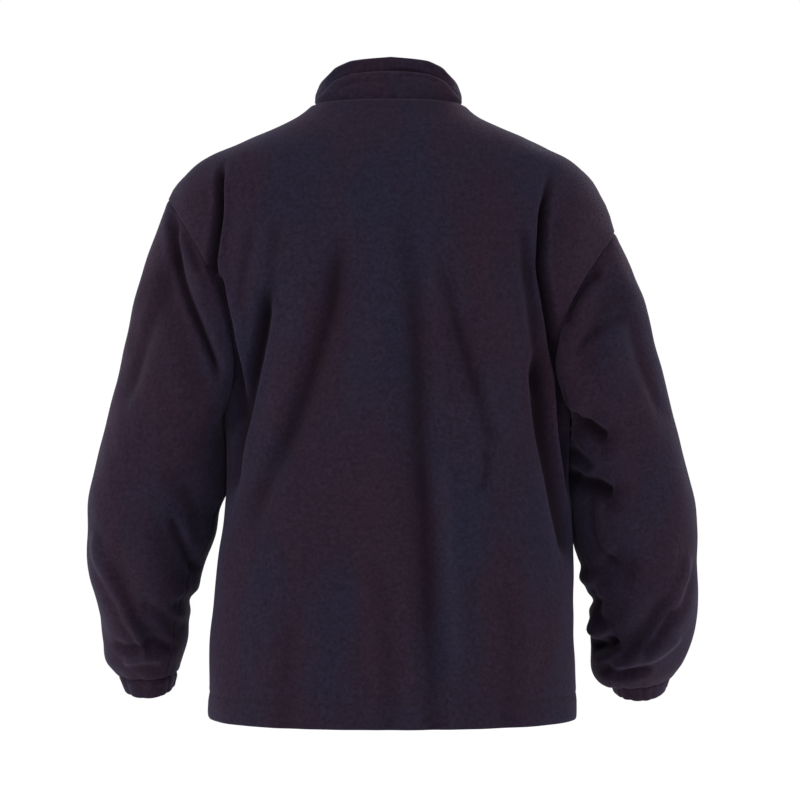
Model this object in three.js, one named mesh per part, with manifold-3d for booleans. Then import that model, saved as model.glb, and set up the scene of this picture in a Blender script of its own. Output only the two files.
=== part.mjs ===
// A fleece zip jacket, filled out as worn, built from the pieces a maker cuts and sews:
// back, two fronts, two sleeves, two elastic cuff bands, a stand collar and a full-length zip.
// Millimetres, +Z up. The front faces -Y and the wearer's left is +X. The origin is the middle
// of the neck opening, level with the side neck points.
import Module from "manifold-3d";
import * as THREE from "three";
import { mergeVertices } from "three/addons/utils/BufferGeometryUtils.js";

// Driving dimensions of the cloth
const FLEECE = 2.6;
const COLLAR_CLOTH = 4.4;
const CUFF_CLOTH = 3.4;
const SEAM_GAP = 0.33;

// Driving dimensions of the cut
const HEM_Z = -686;
const UNDERARM_Z = -352;
const NAPE_Z = 1;
const FRONT_NECK_Z = -58;
const ARMHOLE_BACK_DEPTH = 78;
const ARMHOLE_FRONT_DEPTH = 84;
const SHOULDER_TIP_Z = { left: -107, right: -144 };
const NECK = { left: 86, right: 80, front: 73 };
const NECK_SEARCH = 5;
const NECK_DRAW = 2.5;
const ZIP_OPENING_HALF = 5.5;
const ZIP_STITCH_LINE = 16;
const CUFF_LENGTH = 19;

// Driving dimensions of the zip: two tapes, the closed chain of teeth, the slider and its pull tab
const CLEARANCE = 0.3;
const TAPE_GAP = 0.4;
const TAPE = { inner: 0.15, spread: 2.4, outer: 15, thick: 0.9 };
const CHAIN = { half: 2.9, thick: 2.2 };
const SLIDER = { half: 4.7, height: 13, plate: 1.5, flange: 1.3, fromTop: 7.5, corner: 2.2 };
const BRIDGE = { half: 1.1, low: 3.4, high: 5.9 };
const CROWN = { half: 1.3, room: 1.55, bar: 1.3 };
const PULL = { length: 33, half: 3.9, thick: 1.7, bar: 0.85, eyeHalf: 1.75, eyeEnd: 4.9, corner: 1.8 };

// Rows and columns of each panel's wall
const SIDE_ROWS = 11;
const ARMHOLE_ROWS = 13;
const SHOULDER_ROWS = 5;
const BACK_COLUMNS = 14;
const FRONT_COLUMNS = 11;
const SLEEVE_RINGS = 25;
const CUFF_RINGS = 2;
const CUFF_SPLIT = 3;
const COLLAR_STEPS = [0, 0.25, 0.5, 0.75, 1];

// The body's horizontal sections: half width on each side, depth behind and before the middle
const SECTION_POWER = 2.3;
const ARMHOLE_POWER = 0.85;
const SECTIONS = [
  { z: -686, left: 205, right: 209, back: 127, front: 139 },
  { z: -610, left: 204, right: 206, back: 123, front: 138 },
  { z: -560, left: 199, right: 204, back: 120, front: 138 },
  { z: -500, left: 195, right: 207, back: 117, front: 138 },
  { z: -450, left: 190, right: 208, back: 116, front: 139 },
  { z: -400, left: 187, right: 205, back: 117, front: 141 },
  { z: -350, left: 189, right: 203, back: 119, front: 142 },
  { z: -305, left: 194, right: 203, back: 121, front: 141 },
  { z: -250, left: 214, right: 219, back: 123, front: 137 },
  { z: -208, left: 229, right: 235, back: 123, front: 130 },
  { z: -175, left: 240, right: 246, back: 122, front: 122 },
  { z: -150, left: 246, right: 251, back: 119, front: 115 },
  { z: -129, left: 250, right: 246, back: 116, front: 107 },
  { z: -107, left: 249, right: 237, back: 111, front: 98 },
  { z: -84, left: 235, right: 223, back: 105, front: 87 },
  { z: -62, left: 209, right: 199, back: 96, front: 75 },
  { z: -39, left: 156, right: 151, back: 85, front: 64 },
  { z: -17, left: 109, right: 102, back: 72, front: 54 },
  { z: 0, left: 86, right: 80, back: 62, front: 46 },
  { z: 12, left: 72, right: 67, back: 54, front: 40 },
];

// Each sleeve's rings, from the armhole to the cuff: the outer and inner edge seen from behind,
// the middle's depth, half the ring's depth, and how far the ring tips forward (radians)
const SLEEVE_SECTIONS = {
  left: [
    { outX: 260, outZ: -136, inX: 192, inZ: -357, y: 0, deep: 82, tip: 0 },
    { outX: 271, outZ: -166, inX: 194, inZ: -362, y: -1, deep: 83, tip: 0 },
    { outX: 286, outZ: -212, inX: 194, inZ: -371, y: -3, deep: 83, tip: 0 },
    { outX: 298, outZ: -262, inX: 193, inZ: -383, y: -6, deep: 82, tip: 0 },
    { outX: 309, outZ: -310, inX: 192, inZ: -397, y: -9, deep: 80, tip: 0 },
    { outX: 320, outZ: -354, inX: 192, inZ: -413, y: -12, deep: 78, tip: 0 },
    { outX: 331, outZ: -398, inX: 193, inZ: -433, y: -15, deep: 76, tip: 0.03 },
    { outX: 341, outZ: -438, inX: 196, inZ: -455, y: -18, deep: 73, tip: 0.1 },
    { outX: 343, outZ: -476, inX: 202, inZ: -483, y: -22, deep: 70, tip: 0.18 },
    { outX: 343, outZ: -510, inX: 210, inZ: -513, y: -29, deep: 66, tip: 0.24 },
    { outX: 337, outZ: -545, inX: 220, inZ: -546, y: -38, deep: 61, tip: 0.27 },
    { outX: 332, outZ: -578, inX: 230, inZ: -577, y: -49, deep: 56, tip: 0.27 },
    { outX: 331, outZ: -606, inX: 233, inZ: -604, y: -59, deep: 51, tip: 0.25 },
    { outX: 329, outZ: -629, inX: 239, inZ: -627, y: -67, deep: 45, tip: 0.22 },
    { outX: 316, outZ: -646, inX: 246, inZ: -645, y: -72, deep: 36, tip: 0.18 },
  ],
  right: [
    { outX: 262, outZ: -168, inX: 208, inZ: -357, y: 0, deep: 82, tip: 0 },
    { outX: 272, outZ: -190, inX: 210, inZ: -363, y: -1, deep: 84, tip: 0 },
    { outX: 285, outZ: -223, inX: 210, inZ: -372, y: -3, deep: 84, tip: 0 },
    { outX: 296, outZ: -264, inX: 209, inZ: -385, y: -6, deep: 82, tip: 0 },
    { outX: 309, outZ: -310, inX: 209, inZ: -399, y: -9, deep: 80, tip: 0 },
    { outX: 319, outZ: -354, inX: 210, inZ: -415, y: -12, deep: 78, tip: 0 },
    { outX: 331, outZ: -398, inX: 211, inZ: -435, y: -15, deep: 76, tip: 0.03 },
    { outX: 342, outZ: -438, inX: 213, inZ: -458, y: -18, deep: 73, tip: 0.1 },
    { outX: 347, outZ: -476, inX: 216, inZ: -485, y: -22, deep: 71, tip: 0.18 },
    { outX: 347, outZ: -512, inX: 219, inZ: -515, y: -29, deep: 68, tip: 0.24 },
    { outX: 349, outZ: -547, inX: 223, inZ: -549, y: -38, deep: 65, tip: 0.27 },
    { outX: 349, outZ: -578, inX: 227, inZ: -579, y: -49, deep: 62, tip: 0.27 },
    { outX: 345, outZ: -606, inX: 229, inZ: -607, y: -59, deep: 57, tip: 0.25 },
    { outX: 335, outZ: -630, inX: 231, inZ: -631, y: -68, deep: 49, tip: 0.22 },
    { outX: 317, outZ: -648, inX: 243, inZ: -648, y: -74, deep: 38, tip: 0.18 },
  ],
};
const LOOP_FADE = 0.3;
const LOOP_FADE_POWER = 1.2;
const CUFF_NARROWING = 0.94;
const CUFF_GATHERS = 11;
const GATHER_DEPTH = 1.3;

// The collar's top edge and the crease round its back, by the angle from the centre back
const COLLAR_LEAN = -9.5;
const COLLAR_TAPER = 0.08;
const CREASE_STEP = 0.5;
const UPPER_HOLLOW = 0.55;
const COLLAR_EDGE = [
  { angle: 0, top: 46.5, crease: 0.66, bulge: 5 },
  { angle: 30, top: 43, crease: 0.62, bulge: 5 },
  { angle: 45, top: 37, crease: 0.58, bulge: 5 },
  { angle: 60, top: 28, crease: 0.56, bulge: 4.5 },
  { angle: 75, top: 23, crease: 0.54, bulge: 4 },
  { angle: 90, top: 21, crease: 0.52, bulge: 3.5 },
  { angle: 120, top: 14, crease: 0.5, bulge: 1.5 },
  { angle: 150, top: 3, crease: 0.5, bulge: 0.3 },
  { angle: 180, top: -4, crease: 0.5, bulge: 0 },
];

// Folds: each runs through a few points seen from behind, and is a trough where depth is negative
const BODY_FOLDS = [
  { face: 1, width: 17, depth: -10, path: [[186, -84], [184, -130], [186, -180], [178, -240]] },
  { face: 1, width: 18, depth: -11, path: [[-176, -92], [-172, -160], [-180, -260], [-188, -330]] },
  { face: 1, width: 18, depth: -9, path: [[130, -190], [138, -240], [150, -290], [165, -345], [174, -400]] },
  { face: 1, width: 22, depth: -9, path: [[54, -144], [56, -190], [82, -302], [99, -355], [131, -432]] },
  { face: 1, width: 23, depth: -9, path: [[-7, -172], [-24, -288], [-33, -433], [-40, -537], [-46, -660]] },
  { face: 1, width: 19, depth: -7, path: [[-128, -130], [-156, -224], [-161, -320], [-174, -420]] },
  { face: 1, width: 22, depth: -5, path: [[-62, -231], [-82, -288], [-99, -341]] },
  { face: -1, width: 24, depth: -8, path: [[150, -150], [142, -220], [124, -300], [95, -380]] },
  { face: -1, width: 24, depth: -8, path: [[-152, -160], [-140, -230], [-120, -310], [-92, -400]] },
  { face: -1, width: 26, depth: -6, path: [[70, -300], [80, -420], [86, -560], [88, -680]] },
  { face: -1, width: 26, depth: -6, path: [[-74, -330], [-84, -440], [-90, -570], [-92, -680]] },
  { face: -1, width: 22, depth: -5, path: [[128, -420], [150, -480], [160, -560]] },
  { face: -1, width: 22, depth: -5, path: [[-130, -440], [-154, -500], [-164, -570]] },
];
const SLEEVE_FOLDS = {
  left: [
    { face: 1, width: 17, depth: -10, path: [[250, -150], [244, -200], [208, -300], [200, -350]] },
    { face: 1, width: 17, depth: -9, path: [[260, -456], [240, -496], [224, -530], [214, -560]] },
    { face: 1, width: 16, depth: -6, path: [[244, -400], [224, -440], [212, -480]] },
    { face: 1, width: 16, depth: 6, path: [[338, -480], [326, -530], [306, -576], [284, -612]] },
    { face: 1, width: 16, depth: -7, path: [[312, -500], [298, -548], [276, -590], [252, -620]] },
    { face: -1, width: 17, depth: -8, path: [[208, -460], [250, -480], [304, -494]] },
    { face: -1, width: 17, depth: -8, path: [[216, -514], [256, -528], [314, -544]] },
    { face: -1, width: 16, depth: -7, path: [[232, -566], [270, -580], [318, -594]] },
    { face: -1, width: 18, depth: -8, path: [[250, -160], [238, -215], [218, -270], [206, -320]] },
  ],
  right: [
    { face: 1, width: 17, depth: -8, path: [[-250, -196], [-236, -222], [-222, -262], [-214, -320]] },
    { face: 1, width: 17, depth: -9, path: [[-208, -350], [-226, -370], [-250, -384]] },
    { face: 1, width: 17, depth: -10, path: [[-214, -412], [-234, -432], [-258, -448]] },
    { face: 1, width: 16, depth: -7, path: [[-236, -500], [-254, -516], [-276, -528]] },
    { face: 1, width: 16, depth: 7, path: [[-334, -540], [-320, -584], [-296, -618], [-264, -640]] },
    { face: 1, width: 16, depth: -8, path: [[-310, -540], [-298, -570], [-276, -600], [-250, -622]] },
    { face: -1, width: 17, depth: -8, path: [[-216, -464], [-258, -484], [-310, -496]] },
    { face: -1, width: 17, depth: -8, path: [[-222, -516], [-262, -530], [-320, -548]] },
    { face: -1, width: 16, depth: -7, path: [[-230, -568], [-272, -584], [-324, -598]] },
    { face: -1, width: 18, depth: -8, path: [[-248, -180], [-238, -226], [-222, -274], [-214, -320]] },
  ],
};
const PATH_STEPS = 24;
const FOLD_FADE = 0.25;
const FOLD_RIDGE = 0.5;
const FOLD_FACING = { low: -0.05, high: 0.35 };

// Colours
const NAVY = 0x1d1a2b;
const TAPE_NAVY = 0x16151f;
const DARK_METAL = 0x2b2b30;

const lerp = (a, b, t) => a + (b - a) * t;
const clamp01 = (t) => Math.min(1, Math.max(0, t));
const smooth = (low, high, value) => {
  const t = clamp01((value - low) / (high - low));
  return t * t * (3 - 2 * t);
};

// Reads a table at a value of its key column, with a smooth curve through each other column.
function readTable(table, key, value) {
  const last = table.length - 1;
  let i = 0;
  while (i < last - 1 && table[i + 1][key] < value) i++;
  const spot = clamp01((value - table[i][key]) / (table[i + 1][key] - table[i][key]));
  const slope = (j, column) => {
    const from = table[Math.max(j - 1, 0)];
    const to = table[Math.min(j + 1, last)];
    return (to[column] - from[column]) / (to[key] - from[key]);
  };
  const step = table[i + 1][key] - table[i][key];
  const row = {};
  for (const column of Object.keys(table[0])) {
    const [a, b] = [table[i][column], table[i + 1][column]];
    const [ma, mb] = [slope(i, column) * step, slope(i + 1, column) * step];
    const [t, t2, t3] = [spot, spot * spot, spot * spot * spot];
    row[column] =
      (2 * t3 - 3 * t2 + 1) * a + (t3 - 2 * t2 + t) * ma + (3 * t2 - 2 * t3) * b + (t3 - t2) * mb;
  }
  return row;
}

// The value of the key where a falling or rising function passes zero.
function solve(low, high, f) {
  const rising = f(high) > f(low);
  for (let i = 0; i < 40; i++) {
    const middle = (low + high) / 2;
    if (f(middle) > 0 === rising) high = middle;
    else low = middle;
  }
  return (low + high) / 2;
}

const sideName = (side) => (side > 0 ? "left" : "right");
const sectionAt = (z) => readTable(SECTIONS, "z", z);
const halfWidth = (side, z) => sectionAt(z)[sideName(side)];
const depthOf = (face, z) => (face > 0 ? sectionAt(z).back : sectionAt(z).front);
const angleOfX = (side, x, z) =>
  Math.asin(Math.min(1, Math.abs(x) / halfWidth(side, z)) ** (SECTION_POWER / 2));

// A point of the body: side +1 is the wearer's left, face +1 the back, angle 0 the centre line.
function bodyPoint(side, face, { angle, z }) {
  const across = Math.sin(angle) ** (2 / SECTION_POWER);
  const deep = Math.max(0, Math.cos(angle)) ** (2 / SECTION_POWER);
  return new THREE.Vector3(side * halfWidth(side, z) * across, face * depthOf(face, z) * deep, z);
}

const ARMHOLE_START = SIDE_ROWS;
const SHOULDER_START = SIDE_ROWS + ARMHOLE_ROWS;
const TOP_ROW = SHOULDER_START + SHOULDER_ROWS;

// Where a row ends: on the side seam, then the armhole, then the shoulder seam.
function edgeOfRow(side, face, row) {
  const tipZ = SHOULDER_TIP_Z[sideName(side)];
  if (row <= ARMHOLE_START) return { angle: Math.PI / 2, z: lerp(HEM_Z, UNDERARM_Z, row / SIDE_ROWS) };
  if (row < SHOULDER_START) {
    const turn = (Math.PI * (row - ARMHOLE_START)) / ARMHOLE_ROWS;
    const z = (UNDERARM_Z + tipZ) / 2 - ((tipZ - UNDERARM_Z) / 2) * Math.cos(turn);
    const y = (face > 0 ? ARMHOLE_BACK_DEPTH : ARMHOLE_FRONT_DEPTH) * Math.sin(turn) ** ARMHOLE_POWER;
    return { angle: Math.acos(Math.min(1, y / depthOf(face, z)) ** (SECTION_POWER / 2)), z };
  }
  if (row === TOP_ROW) return { angle: Math.PI / 2, z: 0 };
  const share = (row - SHOULDER_START) / SHOULDER_ROWS;
  const x = lerp(halfWidth(side, tipZ), NECK[sideName(side)], share);
  return { angle: Math.PI / 2, z: solve(tipZ, 0, (z) => halfWidth(side, z) - x) };
}

function centreZ(face, row) {
  if (row <= ARMHOLE_START) return lerp(HEM_Z, UNDERARM_Z, row / SIDE_ROWS);
  const top = face > 0 ? NAPE_Z : FRONT_NECK_Z;
  return lerp(UNDERARM_Z, top, (row - ARMHOLE_START) / (TOP_ROW - ARMHOLE_START));
}

// The front neckline at a distance from the centre, worked out from its ring seen from above.
function frontNeck(side, x) {
  const y = NECK.front * (1 - (x / NECK[sideName(side)]) ** SECTION_POWER) ** (1 / SECTION_POWER);
  const outside = (z) =>
    (x / halfWidth(side, z)) ** SECTION_POWER + (y / depthOf(-1, z)) ** SECTION_POWER - 1;
  const z = solve(FRONT_NECK_Z - NECK_SEARCH, NECK_SEARCH, outside);
  return { angle: angleOfX(side, x, z), z };
}

function backPoint(column, row) {
  const side = column < 0 ? -1 : 1;
  const share = Math.abs(column) / BACK_COLUMNS;
  const edge = edgeOfRow(side, 1, row);
  return bodyPoint(side, 1, { angle: edge.angle * share, z: lerp(centreZ(1, row), edge.z, share * share) });
}

// A front's columns: its free edge, the line where the zip is sewn, then even steps to the side.
function frontSpot(side, column, edge, z0) {
  if (column === 0) return { angle: angleOfX(side, ZIP_OPENING_HALF, z0), z: z0 };
  const share = (column - 1) / (FRONT_COLUMNS - 1);
  const z = lerp(z0, edge.z, share * share);
  return { angle: lerp(angleOfX(side, ZIP_STITCH_LINE, z), edge.angle, share), z };
}

// The same column's place on the neckline itself.
function neckSpot(side, column) {
  if (column === FRONT_COLUMNS) return { angle: Math.PI / 2, z: 0 };
  if (column === 0) return frontNeck(side, ZIP_OPENING_HALF);
  const turn = ((Math.PI / 2) * (column - 1)) / (FRONT_COLUMNS - 1);
  const across = Math.sin(turn) ** (2 / SECTION_POWER);
  return frontNeck(side, lerp(ZIP_STITCH_LINE, NECK[sideName(side)], across));
}

// The upper rows are drawn more and more from the plain rows onto the neckline.
function frontPoint(side, column, row) {
  const spot = frontSpot(side, column, edgeOfRow(side, -1, row), centreZ(-1, row));
  const weight = clamp01((row - ARMHOLE_START) / (TOP_ROW - ARMHOLE_START)) ** NECK_DRAW;
  const top = frontSpot(side, column, edgeOfRow(side, -1, TOP_ROW), FRONT_NECK_Z);
  const wanted = neckSpot(side, column);
  spot.angle += weight * (wanted.angle - top.angle);
  spot.z += weight * (wanted.z - top.z);
  return bodyPoint(side, -1, spot);
}

const range = (from, to) => Array.from({ length: to - from + 1 }, (_, i) => from + i);

// A grid of points: lines[row][column]. Rows go up the body; wrap closes it into a tube.
const backLines = () =>
  range(0, TOP_ROW).map((row) => range(-BACK_COLUMNS, BACK_COLUMNS).map((c) => backPoint(c, row)));
const frontLines = (side) =>
  range(0, TOP_ROW).map((row) => range(0, FRONT_COLUMNS).map((c) => frontPoint(side, c, row)));

// The armhole, from the shoulder tip down the back, under the arm and up the front.
function armholeLoop(side) {
  const at = (face, step) => bodyPoint(side, face, edgeOfRow(side, face, SHOULDER_START - step));
  const tip = bodyPoint(side, 1, edgeOfRow(side, 1, SHOULDER_START));
  const down = range(1, ARMHOLE_ROWS).map((step) => at(1, step));
  const up = range(1, ARMHOLE_ROWS - 1).map((step) => at(-1, ARMHOLE_ROWS - step));
  return [tip, ...down, ...up];
}

function ringOf(side, section, count) {
  const middle = new THREE.Vector3(
    (side * (section.outX + section.inX)) / 2,
    section.y,
    (section.outZ + section.inZ) / 2,
  );
  const across = new THREE.Vector3(
    (side * (section.outX - section.inX)) / 2,
    0,
    (section.outZ - section.inZ) / 2,
  );
  const back = new THREE.Vector3(0, Math.cos(section.tip), -Math.sin(section.tip));
  back.multiplyScalar(section.deep);
  return range(0, count - 1).map((i) => {
    const turn = (2 * Math.PI * i) / count;
    return middle.clone().addScaledVector(across, Math.cos(turn)).addScaledVector(back, Math.sin(turn));
  });
}

// The sleeve: rings from the armhole's own loop, whose shape fades into the sections.
function sleeveLines(side) {
  const loop = armholeLoop(side);
  const [tip, under] = [loop[0], loop[ARMHOLE_ROWS]];
  const first = {
    ...{ outX: Math.abs(tip.x), outZ: tip.z, inX: Math.abs(under.x), inZ: under.z },
    ...{ y: 0, deep: ARMHOLE_BACK_DEPTH, tip: 0 },
  };
  const sections = [first, ...SLEEVE_SECTIONS[sideName(side)]];
  let travelled = 0;
  const table = sections.map((s, i) => {
    if (i > 0) {
      const before = sections[i - 1];
      travelled += Math.hypot(s.outX - before.outX, s.outZ - before.outZ, s.y - before.y);
      travelled += Math.hypot(s.inX - before.inX, s.inZ - before.inZ, s.y - before.y);
    }
    return { ...s, travelled };
  });
  const plain = ringOf(side, first, loop.length);
  return range(0, SLEEVE_RINGS).map((k) => {
    const share = k / SLEEVE_RINGS;
    const section = readTable(table, "travelled", travelled * share);
    const keep = (1 - smooth(0, LOOP_FADE, share)) ** LOOP_FADE_POWER;
    return ringOf(side, section, loop.length).map((p, i) =>
      p.addScaledVector(loop[i].clone().sub(plain[i]), keep),
    );
  });
}

// A ring with each of its steps split in equal shares, on the same straight lines.
const splitRing = (ring, count) =>
  ring.flatMap((p, i) => {
    const next = ring[(i + 1) % ring.length];
    return range(0, count - 1).map((k) => p.clone().lerp(next, k / count));
  });

// The elastic band: carries the sleeve's last ring on, narrower and gathered at its edge.
function cuffLines(lastRing, direction) {
  const middle = lastRing.reduce((sum, p) => sum.add(p), new THREE.Vector3()).divideScalar(lastRing.length);
  const ring = splitRing(lastRing, CUFF_SPLIT);
  return range(0, CUFF_RINGS).map((k) => {
    const share = k / CUFF_RINGS;
    return ring.map((p, i) => {
      const out = p.clone().sub(middle);
      const wave = Math.sin((2 * Math.PI * CUFF_GATHERS * i) / ring.length);
      return middle
        .clone()
        .addScaledVector(out, lerp(1, CUFF_NARROWING, share))
        .addScaledVector(out.normalize(), GATHER_DEPTH * wave * Math.sqrt(share))
        .addScaledVector(direction, CUFF_LENGTH * share);
    });
  });
}

// The collar stands on the neckline, leans with the neck, and bulges below a crease.
function collarLines(neckline) {
  return COLLAR_STEPS.map((step) =>
    neckline.map((base) => {
      const width = base.x > 0 ? NECK.left : NECK.right;
      const deep = base.y > 0 ? sectionAt(0).back : NECK.front;
      const turn = Math.atan2(Math.abs(base.x) / width, base.y / deep);
      const edge = readTable(COLLAR_EDGE, "angle", THREE.MathUtils.radToDeg(turn));
      const outward = new THREE.Vector3(Math.sign(base.x) * Math.sin(turn), Math.cos(turn), 0);
      const part = step / CREASE_STEP;
      const height = part <= 1 ? part * edge.crease : lerp(edge.crease, 1, part - 1);
      const top = new THREE.Vector3(
        base.x * (1 - COLLAR_TAPER * Math.sin(turn) ** 2),
        base.y + COLLAR_LEAN,
        edge.top,
      );
      const push = part < 1 ? Math.sin(Math.PI * part) : -UPPER_HOLLOW * Math.sin((Math.PI / 2) * part) ** 2;
      return base.clone().lerp(top, height).addScaledVector(outward, edge.bulge * push);
    }),
  );
}

// A fold's path as a smooth run of short steps.
function preparedFold(fold) {
  const curve = new THREE.CatmullRomCurve3(fold.path.map(([x, z]) => new THREE.Vector3(x, 0, z)));
  return { ...fold, points: curve.getSpacedPoints(PATH_STEPS) };
}

// How far one fold moves a point: a soft trough with a low ridge on each side.
function foldDepth(fold, p, n) {
  const shown = smooth(FOLD_FACING.low, FOLD_FACING.high, fold.face * n.y);
  if (shown === 0) return 0;
  let nearest = Infinity;
  let along = 0;
  for (let i = 0; i < PATH_STEPS; i++) {
    const [a, b] = [fold.points[i], fold.points[i + 1]];
    const t = clamp01(((p.x - a.x) * (b.x - a.x) + (p.z - a.z) * (b.z - a.z)) / a.distanceToSquared(b));
    const d = Math.hypot(p.x - lerp(a.x, b.x, t), p.z - lerp(a.z, b.z, t));
    if (d < nearest) {
      nearest = d;
      along = (i + t) / PATH_STEPS;
    }
  }
  const q = nearest / fold.width;
  const ends = smooth(0, FOLD_FADE, along) * smooth(0, FOLD_FADE, 1 - along);
  return shown * ends * fold.depth * (1 - FOLD_RIDGE * q * q) * Math.exp((-q * q) / 2);
}

const keyOf = (p) => [p.x, p.y, p.z].map((c) => Math.round(c * 100)).join(",");

const faceNormal = (a, b, c) => b.clone().sub(a).cross(c.clone().sub(a));
const bend = ([a, b, c], [d, e, f]) => faceNormal(a, b, c).angleTo(faceNormal(d, e, f));

// The triangles of a grid, as index triples facing out. Each square is split where it bends least.
function gridTriangles({ lines, wrap, flip }) {
  const points = lines.flat();
  const columns = lines[0].length;
  const last = wrap ? columns : columns - 1;
  const made = [];
  for (let r = 0; r < lines.length - 1; r++)
    for (let c = 0; c < last; c++) {
      const [a, b] = [r * columns + c, r * columns + ((c + 1) % columns)];
      const [d, e] = [a + columns, b + columns];
      const splits = [
        [[a, b, d], [b, e, d]],
        [[a, b, e], [a, e, d]],
      ];
      const [one, other] = splits.map((pair) => bend(...pair.map((t) => t.map((i) => points[i]))));
      for (const [i, j, k] of splits[one <= other ? 0 : 1]) made.push(flip ? [i, k, j] : [i, j, k]);
    }
  return made;
}

// One outward normal for each place, shared by every panel that meets there.
function sharedNormals(panels) {
  const sums = new Map();
  for (const panel of panels) {
    const points = panel.lines.flat();
    for (const triangle of gridTriangles(panel)) {
      const corners = triangle.map((i) => points[i]);
      const n = faceNormal(...corners);
      for (const p of corners) {
        const key = keyOf(p);
        if (!sums.has(key)) sums.set(key, new THREE.Vector3());
        sums.get(key).add(n);
      }
    }
  }
  return (p) => sums.get(keyOf(p)).clone().normalize();
}

// Folds every panel. A place that two panels share moves by the mean of what they say.
function foldPanels(panels) {
  const normal = sharedNormals(panels);
  const moves = new Map();
  for (const { lines, folds } of panels)
    for (const p of lines.flat()) {
      const n = normal(p);
      const move = folds.reduce((sum, fold) => sum + foldDepth(fold, p, n), 0);
      const entry = moves.get(keyOf(p)) ?? { sum: 0, count: 0 };
      moves.set(keyOf(p), { sum: entry.sum + move, count: entry.count + 1 });
    }
  return panels.map((panel) => ({
    ...panel,
    lines: panel.lines.map((line) =>
      line.map((p) => {
        const { sum, count } = moves.get(keyOf(p));
        return p.clone().addScaledVector(normal(p), sum / count);
      }),
    ),
  }));
}

// Draws a grid's sewn edges back, so that neighbours stay a seam gap apart.
function drawBack({ lines, wrap }) {
  const amount = SEAM_GAP / 2;
  const rows = lines.length;
  const columns = lines[0].length;
  const toward = (p, q) => p.clone().addScaledVector(q.clone().sub(p).normalize(), amount);
  return lines.map((line, r) =>
    line.map((p, c) => {
      let moved = p;
      if (r === 0) moved = toward(moved, lines[1][c]);
      if (r === rows - 1) moved = toward(moved, lines[rows - 2][c]);
      if (!wrap && c === 0) moved = toward(moved, line[1]);
      if (!wrap && c === columns - 1) moved = toward(moved, line[columns - 2]);
      return moved;
    }),
  );
}

// A closed wall: an outer grid, an inner grid, and a rim round every open edge.
function wallGeometry({ outer, inner, wrap, flip }) {
  const rows = outer.length;
  const columns = outer[0].length;
  const half = rows * columns;
  const points = [...outer.flat(), ...inner.flat()];
  const triangles = [];
  for (const [a, b, c] of gridTriangles({ lines: outer, wrap, flip }))
    triangles.push([a, b, c], [a + half, c + half, b + half]);
  // Neighbours split a rim's face the same way, from its higher end, so that their rims match.
  const rim = (a, b) => {
    if (points[a].z > points[b].z) triangles.push([a, a + half, b + half], [a, b + half, b]);
    else triangles.push([a, a + half, b], [b, a + half, b + half]);
  };
  const edge = (a, b) => (flip ? rim(b, a) : rim(a, b));
  const last = wrap ? columns : columns - 1;
  for (let c = 0; c < last; c++) {
    const next = (c + 1) % columns;
    edge(c, next);
    edge((rows - 1) * columns + next, (rows - 1) * columns + c);
  }
  if (!wrap)
    for (let r = 0; r < rows - 1; r++) {
      edge((r + 1) * columns, r * columns);
      edge(r * columns + columns - 1, (r + 1) * columns + columns - 1);
    }
  const geometry = new THREE.BufferGeometry();
  geometry.setAttribute("position", new THREE.Float32BufferAttribute(points.flatMap((p) => p.toArray()), 3));
  geometry.setIndex(triangles.flat());
  return geometry;
}

const fleece = new THREE.MeshStandardMaterial({ color: NAVY, roughness: 0.95, metalness: 0 });
const tapeCloth = new THREE.MeshStandardMaterial({ color: TAPE_NAVY, roughness: 0.8, metalness: 0 });
const darkMetal = new THREE.MeshStandardMaterial({ color: DARK_METAL, roughness: 0.4, metalness: 0.7 });

const jacket = new THREE.Group();

function addMesh(name, geometry, material) {
  const mesh = new THREE.Mesh(geometry, material);
  mesh.name = name;
  jacket.add(mesh);
}

const left = 1;
const right = -1;
const bodyFolds = BODY_FOLDS.map(preparedFold);

function mainPanels() {
  const back = backLines();
  const fronts = { left: frontLines(left), right: frontLines(right) };
  const topOf = (lines) => lines[lines.length - 1];
  const neckline = [
    ...topOf(fronts.right),
    ...topOf(back).slice(1, -1),
    ...topOf(fronts.left).slice().reverse(),
  ];
  const panels = [
    { name: "back", lines: back, wall: FLEECE, flip: true, folds: bodyFolds },
    { name: "front_left", lines: fronts.left, wall: FLEECE, flip: false, folds: bodyFolds },
    { name: "front_right", lines: fronts.right, wall: FLEECE, flip: true, folds: bodyFolds },
    { name: "collar", lines: collarLines(neckline), wall: COLLAR_CLOTH, flip: true, folds: [] },
  ];
  for (const side of [left, right]) {
    const lines = sleeveLines(side);
    const [ring, before] = [lines[lines.length - 1], lines[lines.length - 3]];
    const direction = new THREE.Vector3();
    ring.forEach((p, i) => direction.add(p).sub(before[i]));
    const cuff = cuffLines(ring, direction.normalize());
    const tube = { wrap: true, flip: side > 0 };
    const folds = SLEEVE_FOLDS[sideName(side)].map(preparedFold);
    panels.push({ name: `sleeve_${sideName(side)}`, lines, wall: FLEECE, ...tube, folds });
    panels.push({ name: `cuff_${sideName(side)}`, lines: cuff, wall: CUFF_CLOTH, ...tube, folds: [] });
  }
  return foldPanels(panels);
}

const panels = mainPanels();
const normal = sharedNormals(panels);
const walls = new Map();
for (const panel of panels) {
  const innerLines = panel.lines.map((line) =>
    line.map((p) => p.clone().addScaledVector(normal(p), -panel.wall)),
  );
  const wall = {
    outer: drawBack(panel),
    inner: drawBack({ ...panel, lines: innerLines }),
    wrap: panel.wrap,
    flip: panel.flip,
  };
  walls.set(panel.name, wall);
  addMesh(panel.name, wallGeometry(wall), fleece);
}

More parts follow.
